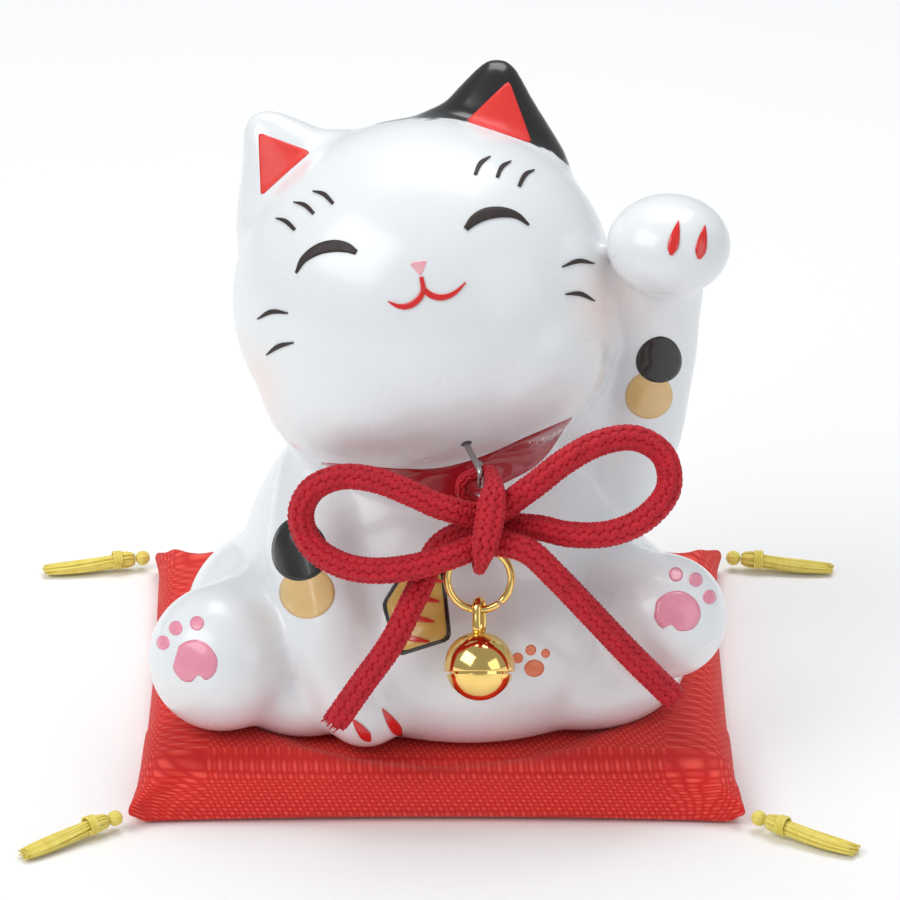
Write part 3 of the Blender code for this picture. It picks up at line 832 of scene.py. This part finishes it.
def paw_marks(tree):
    front = front_frame()
    red = paint_look("claw_red", (0.66, 0.014, 0.014), (0.82, 0.03, 0.025))
    claws = Paint(tree)
    for top, bottom in (
        ((27.4, 55.3), (26.5, 51.4)),
        ((30.4, 54.8), (29.7, 51.0)),
        ((-9.7, -1.6), (-7.7, -4.2)),
        ((-6.3, -0.4), (-4.2, -3.7)),
    ):
        (u0, v0), (u1, v1) = top, bottom
        claws.stroke(front, [
            (u0, v0, 0.05),
            (u0 * 0.65 + u1 * 0.35, v0 * 0.65 + v1 * 0.35, 0.44),
            (u0 * 0.25 + u1 * 0.75, v0 * 0.25 + v1 * 0.75, 0.60),
            (u1, v1, 0.16),
        ], rows=6)
    claws.finish("claw_strokes", red)
    pads = Paint(tree)
    pads.blob(front, smooth_outline([
        (-30.4, 4.4), (-29.4, 2.9), (-28.2, 2.7), (-27.4, 3.5), (-26.5, 2.9), (-25.4, 3.9), (-25.3, 5.6),
        (-26.6, 7.2), (-28.2, 7.5), (-29.8, 6.6),
    ]))
    pads.blob(front, smooth_outline([
        (24.9, 10.2), (25.8, 8.9), (26.9, 9.3), (27.7, 8.6), (29.4, 8.8), (30.3, 10.3), (29.8, 12.0),
        (28.2, 13.1), (26.4, 12.9), (25.1, 11.8),
    ]))
    for u, v in ((-31.6, 7.1), (-30.1, 8.8), (-27.6, 9.4), (27.5, 15.0), (29.8, 14.4), (31.4, 12.4)):
        pads.blob(front, oval(u, v, 0.82, 0.82, count=24), rings=3)
    pads.finish("foot_pads", paint_look("pad_pink", (0.80, 0.24, 0.36), (0.88, 0.36, 0.46), 0.22, 2.0))


def body_marks(tree):
    front = front_frame()
    tan = Paint(tree, lift=0.03)
    tan.blob(front, oval(24.6, 35.7, 2.75, 2.75, egg=0.05), rings=8)
    tan.blob(front, oval(-15.0, 12.9, 3.25, 3.0), rings=8)
    tan.finish("tan_spots", paint_look("tan_wash", (0.70, 0.44, 0.16), (0.80, 0.58, 0.28), 0.18, 1.6))
    black = Paint(tree, lift=0.05)
    black.blob(front, oval(25.7, 39.8, 2.65, 2.65, tilt=-8, egg=0.08), rings=8)
    black.blob(front, oval(-15.9, 17.9, 3.3, 3.65, tilt=12, egg=0.12), rings=8)
    spot_black = paint_look("spot_black", (0.010, 0.010, 0.011), (0.020, 0.019, 0.020), 0.22, 1.2, 0.3)
    black.finish("black_spots", spot_black)
    bib = Paint(tree, lift=0.05)
    bib.band(
        front,
        [(-13.3, 27.7), (-8.8, 26.6), (-4.3, 25.2), (2.0, 23.5), (9.0, 26.1), (12.6, 28.6), (15.5, 33.0)],
        [(-13.3, 27.9), (-8.8, 27.6), (-4.3, 27.2), (0.4, 27.3), (5.4, 28.7), (10.4, 30.9), (15.5, 33.1)],
    )
    bib.finish("bib_paint", paint_look("bib_crimson", (0.36, 0.008, 0.018), (0.46, 0.014, 0.026), 0.14, 2.2))
    outline = Paint(tree, lift=0.03)
    outline.blob(front, rounded([(-4.6, 5.5), (1.7, 7.5), (0.8, 16.0), (-3.9, 15.6), (-6.4, 11.6)]), rings=8)
    outline.finish("coin_outline", paint_look("coin_black", (0.014, 0.011, 0.010), (0.03, 0.022, 0.02)))
    coin = Paint(tree, lift=0.05)
    coin.blob(front, rounded([(-4.2, 6.1), (1.2, 7.8), (0.4, 15.5), (-3.7, 15.1), (-5.9, 11.6)]), rings=8)
    coin.finish("coin_gold", paint_look("coin_yellow", (0.62, 0.36, 0.06), (0.80, 0.53, 0.14), 0.3, 0.9))
    bands = Paint(tree, lift=0.07)
    for step in (-1.5, -0.5, 0.5, 1.5):
        v = 11.0 + 2.3 * step
        lean = 0.57 * step
        band = [(-3.2 + lean, v + 0.2, 0.12), (-1.6 + lean, v, 0.32), (lean, v - 0.3, 0.12)]
        bands.stroke(front, band, rows=6)
    bands.finish("coin_bands", paint_look("coin_red", (0.60, 0.02, 0.012), (0.75, 0.05, 0.03)))
    prints = Paint(tree)
    prints.blob(front, oval(11.2, 4.2, 1.15, 1.0), rings=4)
    for u, v, size in ((9.3, 5.4, 0.62), (10.8, 6.3, 0.62), (12.5, 5.9, 0.52)):
        prints.blob(front, oval(u, v, size, size, count=20), rings=3)
    prints.finish("paw_print", paint_look("print_orange", (0.75, 0.14, 0.05), (0.86, 0.24, 0.10)))


# ---------------------------------------------------------------- wire, bow and ring


def in_bow(across, up, out):
    up_axis = Vector((0.0, math.sin(BOW_LEAN), math.cos(BOW_LEAN)))
    out_axis = Vector((0.0, -math.cos(BOW_LEAN), math.sin(BOW_LEAN)))
    return KNOT + Vector((across, 0.0, 0.0)) + up * up_axis + out * out_axis


LOOP_TOP = in_bow(-0.9, 7.55, -1.9)
RING_TOP = in_bow(-0.95, -1.0, -2.3)
WIRE_EXIT = Vector((3.7, -18.3, 41.0))


def wire_direction():
    start = LOOP_TOP + Vector((0.0, -HOOK_BEND, 0.8))
    return (start - WIRE_EXIT).normalized()


def wire_socket_frame():
    turn = wire_direction().to_track_quat("Z", "Y").to_matrix().to_4x4()
    return Matrix.Translation(WIRE_EXIT - 1.6 * wire_direction()) @ turn


def wire_hook(look):
    inner_end = WIRE_EXIT - WIRE_INSIDE * wire_direction()
    bend = []
    for step in range(9):
        angle = math.radians(-170 + 200 * step / 8)
        bend.append(LOOP_TOP + HOOK_BEND * Vector((0.0, math.cos(angle), math.sin(angle))))
    route = [inner_end, WIRE_EXIT, LOOP_TOP + Vector((0.0, -HOOK_BEND, 0.9)), *bend]
    fine, _ = even_route([tuple(point) for point in route], 0.2)
    piece("wire_hook_fine", round_tube(fine, WIRE_RADIUS), look, "figurine", ["wire_hook"])


def cord_route():
    """The CAD's route: left tail, behind the knot, right loop, over it, left loop, over it, right tail."""
    left_tail = [
        (-11.6, -31.0, 12.5), (-8.5, -30.6, 17.2), (-5.1, -29.8, 22.1), (-2.3, -27.1, 27.0),
        (0.5, -22.9, 31.0),
    ]
    right_loop = [
        (11.2, -24.6, 34.1), (15.1, -26.2, 34.0), (19.6, -27.0, 34.5), (23.6, -26.2, 36.0),
        (26.3, -24.4, 38.8), (25.8, -22.5, 42.1), (22.6, -22.0, 44.1), (18.5, -22.8, 43.9),
        (14.5, -24.0, 42.1), (10.6, -25.1, 39.3),
    ]
    left_loop = [
        (0.9, -26.3, 37.4), (-2.8, -25.8, 38.9), (-6.7, -24.8, 40.1), (-10.7, -23.8, 40.1),
        (-14.1, -23.2, 38.3), (-15.5, -23.8, 35.3), (-14.3, -25.2, 32.2), (-11.2, -26.8, 30.6),
        (-7.4, -28.0, 30.3), (-3.0, -28.4, 30.9), (1.3, -28.2, 32.1),
    ]
    right_tail = [
        (10.0, -28.3, 33.1), (13.4, -28.9, 30.1), (17.7, -29.2, 25.3), (22.1, -28.8, 20.0),
        (27.0, -27.8, 14.2),
    ]
    back = tuple(in_bow(0.0, 1.5, -3.4))
    upper = tuple(in_bow(0.0, 2.45, 0.0))
    lower = tuple(in_bow(0.0, -0.95, 0.0))
    return [*left_tail, back, *right_loop, upper, *left_loop, lower, *right_tail]


def tie_route():
    """The strand round the middle, as (x, y, z, radius)."""
    route = [
        (0.2, 2.2, -6.1, 0.95), (0.0, 0.2, -5.9, 0.95), (-0.5, -1.5, -4.3, 0.9),
        (-0.9, -2.8, -2.4, 0.85), (-0.95, -3.85, -0.3, 0.65), (-0.7, -3.4, 1.8, 0.8),
        (-0.4, -1.9, 3.4, 1.3), (0.1, 0.8, 3.4, 1.5), (0.5, 3.6, 3.4, 1.4), (0.75, 5.4, 2.3, 1.0),
        (0.5, 6.9, 0.3, 0.85), (0.4, 7.5, -0.9, 0.8), (-0.9, 7.55, -1.9, 0.8),
        (-2.6, 6.9, -2.4, 0.8), (-2.8, 5.5, -3.3, 0.8), (-1.3, 4.4, -4.8, 0.8), (0.1, 3.2, -6.0, 0.8),
    ]
    return [(*in_bow(across, up, out), radius) for across, up, out, radius in route]


def braid(route, wide=1.0, carriers=8, stitch=1.12, samples=6):
    """A round braid along (x, y, z, radius) points: two sets of strands that wind opposite ways and weave."""
    rows, along = even_route(route, stitch / samples)
    centres, radii = rows[:, :3], rows[:, 3]
    tangents, normals, binormals = carried_frames(centres, first=(1.0, 0.0, 0.0))
    pitch = carriers * stitch
    turn = math.tau * along / pitch
    weave = np.cos(carriers * turn)
    sweep = Sweep()
    sweep.add(centres, normals, binormals, 0.70 * radii * wide, 0.70 * radii, sides=10)
    for way in (1, -1):
        for carrier in range(carriers):
            angle = way * turn + math.tau * (carrier + (0.0 if way > 0 else 0.5)) / carriers
            phase = 1.0 if way > 0 else -1.0
            radius = radii * (0.745 + 0.075 * phase * weave)
            out = np.cos(angle)[:, None] * normals * wide + np.sin(angle)[:, None] * binormals
            path = centres + radius[:, None] * out
            out = unit(out)
            strand = unit(np.gradient(path, axis=0))
            side = unit(np.cross(strand, out))
            sweep.add(path, out, side, 0.20 * radii, 0.275 * radii, sides=6)
    return sweep, centres, tangents


def frayed_end(sweep, centre, along, radius, count=46, reach=0.9):
    """Cut fibres that stand out of a cord's end, each its own length and lean."""
    along = Vector(along).normalized()
    side = along.orthogonal().normalized()
    other = along.cross(side)
    for _ in range(count):
        angle = DRAWS.uniform(0.0, math.tau)
        off = radius * math.sqrt(DRAWS.uniform(0.0, 1.0)) * 0.92
        root = Vector(centre) + off * (math.cos(angle) * side + math.sin(angle) * other) - 0.5 * along
        lean = side * DRAWS.uniform(-0.22, 0.22) + other * DRAWS.uniform(-0.22, 0.22)
        length = 0.5 + reach * DRAWS.uniform(0.15, 1.0)
        points = [root + along * length * t + lean * length * t * t for t in (0.0, 0.5, 1.0)]
        centres = np.array([tuple(point) for point in points])
        _, normals, binormals = carried_frames(centres, first=tuple(side))
        sweep.add(centres, normals, binormals, np.array([0.13, 0.12, 0.07]), np.array([0.13, 0.12, 0.07]), 5)


def bow(look):
    route = [(*point, CORD_RADIUS) for point in cord_route()]
    sweep, centres, tangents = braid(route)
    frayed_end(sweep, centres[0], -tangents[0], CORD_RADIUS)
    frayed_end(sweep, centres[-1], tangents[-1], CORD_RADIUS)
    cord = piece("bow_cord_braid", sweep.mesh(), look, "bow", ["bow_cord"])
    sweep, _, _ = braid(tie_route(), wide=1.16)
    tie = piece("bow_tie_braid", sweep.mesh(), look, "bow", ["bow_tie"])


def leaning(angle):
    return Vector((0.0, -math.sin(angle), -math.cos(angle)))


RING_CENTRE = RING_TOP + RING_RADIUS * leaning(RING_LEAN)
RING_BOTTOM = RING_TOP + 2 * RING_RADIUS * leaning(RING_LEAN)
BELL_CENTRE = RING_BOTTOM + BELL_DROP * leaning(BELL_LEAN)


def jump_ring(look):
    """A split ring of round wire. Its two cut ends meet below the middle of one side."""
    up = -leaning(RING_LEAN)
    across = Vector((1.0, 0.0, 0.0))
    half_gap = 0.035
    route = []
    for step in range(145):
        angle = RING_SPLIT + half_gap + (math.tau - 2 * half_gap) * step / 144
        point = RING_CENTRE + RING_RADIUS * (math.sin(angle) * up + math.cos(angle) * across)
        route.append(tuple(point))
    piece("jump_ring_fine", round_tube(route, RING_WIRE, 20), look, "ring", ["jump_ring"])


# ---------------------------------------------------------------- the bell


def bell_place(mesh):
    """Moves a bell mesh, made about the bell's centre in metres, to its place."""
    mesh.transform(Matrix.Translation(BELL_CENTRE * MM) @ Matrix.Rotation(-BELL_LEAN, 4, "X"))
    mesh.shade_smooth()
    mesh.set_sharp_from_angle(angle=math.radians(40))
    return mesh


def arc(radius, start, end, count):
    angles = [math.radians(start + (end - start) * index / (count - 1)) for index in range(count)]
    return [(radius * math.cos(angle), radius * math.sin(angle)) for angle in angles]


def turned(profile, segments=96):
    form = bmesh.new()
    points = [form.verts.new((radius * MM, 0.0, height * MM)) for radius, height in profile]
    for first, second in zip(points, [*points[1:], points[0]]):
        form.edges.new((first, second))
    obj = add_object("turned", mesh_of(form))
    screw = obj.modifiers.new("Turn", "SCREW")
    screw.steps = screw.render_steps = segments
    screw.use_merge_vertices = True
    screw.merge_threshold = 0.000001
    return obj


def bell_upper(look):
    """The upper shell, whose lip laps over the lower one."""
    hole = math.degrees(math.acos(BELL_TOP_HOLE / BELL_RADIUS))
    inner = BELL_RADIUS - BELL_WALL
    profile = [
        *arc(BELL_RADIUS, hole, 0, 28),
        (BELL_RADIUS + 0.01, -BELL_LIP + 0.10),
        (BELL_RADIUS - 0.04, -BELL_LIP),
        (inner + 0.05, -BELL_LIP),
        *arc(inner, -4, hole - 1, 22),
    ]
    mesh = bell_place(settled_mesh(turned(profile)))
    piece("bell_upper_fine", mesh, look, "bell", ["bell_upper_shell"])


def bell_lower(look):
    """The lower shell: a slot across its bottom that ends in two round holes."""
    outer = BELL_RADIUS - BELL_WALL - 0.3
    bottom = BELL_RADIUS - 0.15
    profile = [
        (outer, -0.1),
        (outer, -BELL_LIP - 0.3),
        *arc(bottom, -13, -89.9, 30),
        *arc(bottom - BELL_WALL, -89.9, -16, 28),
        (outer - BELL_WALL, -BELL_LIP - 0.3),
        (outer - BELL_WALL, -0.1),
    ]
    place = Matrix.Translation((0.0, 0.0, -BELL_RADIUS * MM))
    cutters = [box_cutter(place @ Matrix.Diagonal((*(side * MM for side in BELL_SLOT), 1.0)))]
    for side in (-1, 1):
        place = Matrix.Translation((side * SLOT_END_OUT * MM, 0.0, -SLOT_END_DOWN * MM))
        cutters.append(hole_cutter(SLOT_END_RADIUS, SLOT_END_DEPTH, place, 32))
    mesh = bell_place(cut_mesh(turned(profile), cutters))
    piece("bell_lower_fine", mesh, look, "bell", ["bell_lower_shell"])


def bell_shank(look):
    """The wire loop on top, whose two feet turn inwards where they enter the bell."""
    low = BELL_RADIUS - 0.1
    route = [(-0.75, 0.0, low - 0.25), (-SHANK_HALF, 0.0, low + 0.5), (-SHANK_HALF, 0.0, BELL_DROP - 0.4)]
    for step in range(13):
        angle = math.pi - math.pi * step / 12
        route.append((SHANK_HALF * math.cos(angle), 0.0, BELL_DROP + SHANK_HALF * math.sin(angle)))
    route += [(SHANK_HALF, 0.0, BELL_DROP - 0.4), (SHANK_HALF, 0.0, low + 0.5), (0.75, 0.0, low - 0.25)]
    turn = Matrix.Rotation(SHANK_TURN, 3, "Z")
    fine, _ = even_route([tuple(turn @ Vector(point)) for point in route], 0.15)
    _, normals, binormals = carried_frames(fine, first=tuple(turn @ Vector((0.0, 1.0, 0.0))))
    strap = Sweep()
    strap.add(fine, normals, binormals, SHANK_WIRE * 1.7, SHANK_WIRE, sides=16)
    mesh = bell_place(strap.mesh())
    piece("bell_shank_fine", mesh, look, "bell", ["bell_shank"])


# ---------------------------------------------------------------- the cushion and its tassels


def pad_shape(half, low, rim, high, cells):
    """A closed pad, domed from its rim, whose sides pull in between the corners. In millimetres."""
    form = bmesh.new()
    bmesh.ops.create_cube(form, size=2.0)
    bmesh.ops.subdivide_edges(form, edges=form.edges[:], cuts=cells - 1, use_grid_fill=True)
    for vertex in form.verts:
        u, v, w = vertex.co
        swell = max(0.0, (1 - u**4) * (1 - v**4))
        x = half[0] * u - math.copysign(CUSHION_PINCH, u) * abs(u) ** 3 * (1 - v * v)
        y = half[1] * v - math.copysign(CUSHION_PINCH, v) * abs(v) ** 3 * (1 - u * u)
        top = rim + (high - rim) * swell**0.35
        bottom = low + 0.25 * (1 - swell**0.1)
        vertex.co = Vector((x, y, bottom + (top - bottom) * (w + 1) / 2))
    return form


CORNER_REACH = 1.5  # how far the cover's corners are drawn out to the tassels
CORNER_SHARPNESS = 12
PRESSURE = 4.0
LAST_FRAME = 20
MOST_SWELL = 1.1
STANDS_ON = (25.0, 24.0)  # half sides of the oval that the cat presses flat
SIM_SCALE = 10.0  # the pad is simulated ten times its size, where the cloth's own numbers suit it


def inflate(mesh):
    """Blows the pad up as cloth, held where it rests on the ground and where the cat stands on it."""
    mesh.transform(Matrix.Scale(SIM_SCALE * MM, 4))
    obj = add_object("pad_cloth", mesh)
    remesh = obj.modifiers.new("Remesh", "REMESH")
    remesh.mode = "VOXEL"
    remesh.voxel_size = 0.011
    mesh = settled_mesh(obj)
    rest = [vertex.co.copy() for vertex in mesh.vertices]
    obj = add_object("pad_cloth", mesh)
    held = obj.vertex_groups.new(name="held")
    for index, point in enumerate(rest):
        x, y, z = point / (SIM_SCALE * MM)
        on_ground = 1.0 if z < 0.35 else 0.0
        under_cat = 1.0 if math.hypot(x / 27.0, (y + 1.0) / 26.0) < 1.0 and z > 3.0 else 0.0
        held.add([index], max(on_ground, under_cat), "REPLACE")
    cloth_modifier = obj.modifiers.new("Cloth", "CLOTH")
    settings = cloth_modifier.settings
    settings.quality = 6
    settings.mass = 0.3
    settings.tension_stiffness = 12.0
    settings.compression_stiffness = 12.0
    settings.shear_stiffness = 4.0
    settings.bending_stiffness = 0.15
    settings.use_pressure = True
    settings.uniform_pressure_force = PRESSURE
    settings.vertex_group_mass = "held"
    settings.effector_weights.gravity = 0.0
    cloth_modifier.collision_settings.use_self_collision = False
    cloth_modifier.point_cache.frame_start = 1
    cloth_modifier.point_cache.frame_end = LAST_FRAME
    for step in range(1, LAST_FRAME + 1):
        bpy.context.scene.frame_set(step)
    blown = settled_mesh(obj)
    bpy.context.scene.frame_set(1)
    cap = MOST_SWELL * SIM_SCALE * MM
    for vertex, start in zip(blown.vertices, rest):
        moved = vertex.co - start
        if moved.length > cap:
            moved = moved * (cap / moved.length)
        vertex.co = start + moved
    blown.transform(Matrix.Scale(1.0 / SIM_SCALE / MM, 4))
    return blown


def cushion(look):
    """The stuffed cover: blown up as cloth, creased towards its corners, and flat where it rests."""
    form = pad_shape(CUSHION_HALF, 0.12, 2.3, CUSHION_TOP - 0.35, 36)
    mesh = inflate(mesh_of(form))
    for vertex in mesh.vertices:
        x, y, z = vertex.co
        under_cat = math.hypot(x / STANDS_ON[0], (y + 1.0) / STANDS_ON[1])
        top = CUSHION_TOP - 0.05
        if under_cat >= 1.0:
            top = CUSHION_TOP + 0.9 * min(1.0, (under_cat - 1.0) / 0.25)
        out_x = min(1.0, abs(x) / CUSHION_HALF[0])
        out_y = min(1.0, abs(y) / CUSHION_HALF[1])
        corner = (out_x * out_y) ** CORNER_SHARPNESS
        vertex.co = Vector((
            x + math.copysign(CORNER_REACH * corner, x),
            y + math.copysign(CORNER_REACH * corner, y),
            min(max(z, 0.02), top),
        ))
    mesh.transform(Matrix.Scale(MM, 4))
    panels = ["cushion_top_panel", "cushion_bottom_panel"]
    obj = piece("cushion_cover", mesh, look, "cushion", panels)
    smooth = obj.modifiers.new("Finer", "SUBSURF")
    smooth.levels = smooth.render_levels = 1
    mesh.shade_smooth()


TASSEL_OUT = (1.35, 0.4)  # from the cushion's corner to the middle of the knot
TASSEL_YARNS = 84
KNOT_TURNS = 5
NECK_TURNS = 4
NECK_START = 1.65  # along the skirt
NECK_PITCH = 0.27
NECK_HALF = (1.12, 1.02)
YARN_RADIUS = ([0.0, 0.9, 1.0], [0.15, 0.14, 0.09])  # shares of the length, and the radius there


def tassel(corner, body, x_side, y_side, heading, bend, look):
    """A small tied knot at the corner, a wrapped head, and a flattened skirt of yarn."""
    x = x_side * (CUSHION_HALF[0] + TASSEL_OUT[0])
    y = y_side * (CUSHION_HALF[1] + TASSEL_OUT[1])
    root = Vector((x, y, TASSEL_HEIGHT))
    along = Vector((math.cos(heading), math.sin(heading), 0.0))
    side = Vector((-along.y, along.x, 0.0))
    up = Vector((0.0, 0.0, 1.0))
    knot = Sweep()
    for turn in range(KNOT_TURNS):
        tilt = math.pi * turn / KNOT_TURNS + 0.3
        axis = math.cos(tilt) * side + math.sin(tilt) * up
        other = axis.cross(along).normalized()
        ring = []
        for step in range(25):
            angle = math.tau * step / 24
            offset = math.cos(angle) * along + math.sin(angle) * other
            ring.append(tuple(root + 0.62 * offset))
        ring = np.array(ring)
        _, normals, binormals = carried_frames(ring, first=tuple(axis))
        knot.add(ring, normals, binormals, 0.33, 0.30, 8)
    piece(f"tassel_bead_{corner}", knot.mesh(), look, body, [f"tassel_knot_{corner}"])
    skirt = Sweep()
    start = root + along * (TASSEL_KNOT_RADIUS + 0.1)
    for _ in range(TASSEL_YARNS):
        angle = DRAWS.uniform(0.0, math.tau)
        off = math.sqrt(DRAWS.uniform(0.05, 1.0))
        twist = DRAWS.uniform(-0.25, 0.25)
        ends = DRAWS.uniform(0.90, 1.0)
        route = []
        for share, wide, tall, height in TASSEL_SHAPE:
            turn = angle + twist * share
            across = off * wide * math.cos(turn)
            rise = off * tall * math.sin(turn)
            sway = bend * share * share
            point = start + along * (share * ends * TASSEL_LENGTH) + side * (across + sway)
            route.append((point.x, point.y, max(0.16, height + rise)))
        fine, _ = even_route(route, 0.55)
        _, normals, binormals = carried_frames(fine, first=(0.1, 0.0, 1.0))
        thick = np.interp(np.linspace(0, 1, len(fine)), *YARN_RADIUS)
        skirt.add(fine, normals, binormals, thick, thick, 5)
    for turn in range(NECK_TURNS):
        centre = start + along * (NECK_START + NECK_PITCH * turn)
        ring = []
        for step in range(29):
            angle = math.tau * step / 28
            round_it = NECK_HALF[0] * math.cos(angle) * side + NECK_HALF[1] * math.sin(angle) * up
            ring.append(tuple(centre + round_it + NECK_PITCH * step / 28 * along))
        ring = np.array(ring)
        _, normals, binormals = carried_frames(ring, first=tuple(along))
        skirt.add(ring, normals, binormals, 0.17, 0.15, 6)
    piece(f"tassel_skirt_{corner}", skirt.mesh(), look, body, [f"tassel_{corner}"])


TASSEL_SHAPE = (  # (share of the length, half width, half height, height of the middle)
    (0.0, 0.55, 0.55, 1.6),
    (0.06, 0.95, 0.90, 1.6),
    (0.14, 1.00, 0.92, 1.55),
    (0.24, 0.88, 0.75, 1.42),
    (0.45, 1.05, 0.66, 1.15),
    (0.72, 1.20, 0.55, 0.90),
    (1.0, 1.05, 0.40, 0.72),
)


# ---------------------------------------------------------------- the whole object


def carried_over_materials():
    """The two CAD nodes that stay as they are get their materials."""
    clapper_steel = steel("clapper_steel", (0.32, 0.32, 0.33), (0.6, 0.6, 0.6))
    for node, look in (("bell_clapper", clapper_steel), ("cushion_filling", wadding())):
        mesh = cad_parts[node].data
        mesh.materials.clear()
        mesh.materials.append(look)


def build():
    camera()
    crimson = yarn_look("crimson_cord", (0.36, 0.002, 0.010), (0.70, 0.012, 0.032), (1.0, 0.35, 0.4))
    bow(crimson)
    studio()
    skin = fused_skin(body_forms() + head_forms())
    tree = tree_of(skin)
    cat(skin, glaze())
    face_marks(tree)
    paw_marks(tree)
    body_marks(tree)
    wire_hook(steel("hook_steel", (0.30, 0.29, 0.28), (0.56, 0.55, 0.53)))
    jump_ring(gold("ring_gold"))
    bright = gold("bell_gold")
    bell_upper(bright)
    bell_lower(bright)
    bell_shank(bright)
    cushion(cloth())
    lemon = yarn_look("lemon_yarn", (0.74, 0.56, 0.05), (0.95, 0.85, 0.25), (1.0, 0.95, 0.6))
    tassel("back_left", "tassel_bl", -1, 1, math.radians(190), -0.5, lemon)
    tassel("back_right", "tassel_br", 1, 1, math.radians(-8), 0.6, lemon)
    tassel("front_left", "tassel_fl", -1, -1, math.radians(212), 0.6, lemon)
    tassel("front_right", "tassel_fr", 1, -1, math.radians(-33), 0.8, lemon)
    carried_over_materials()


build()
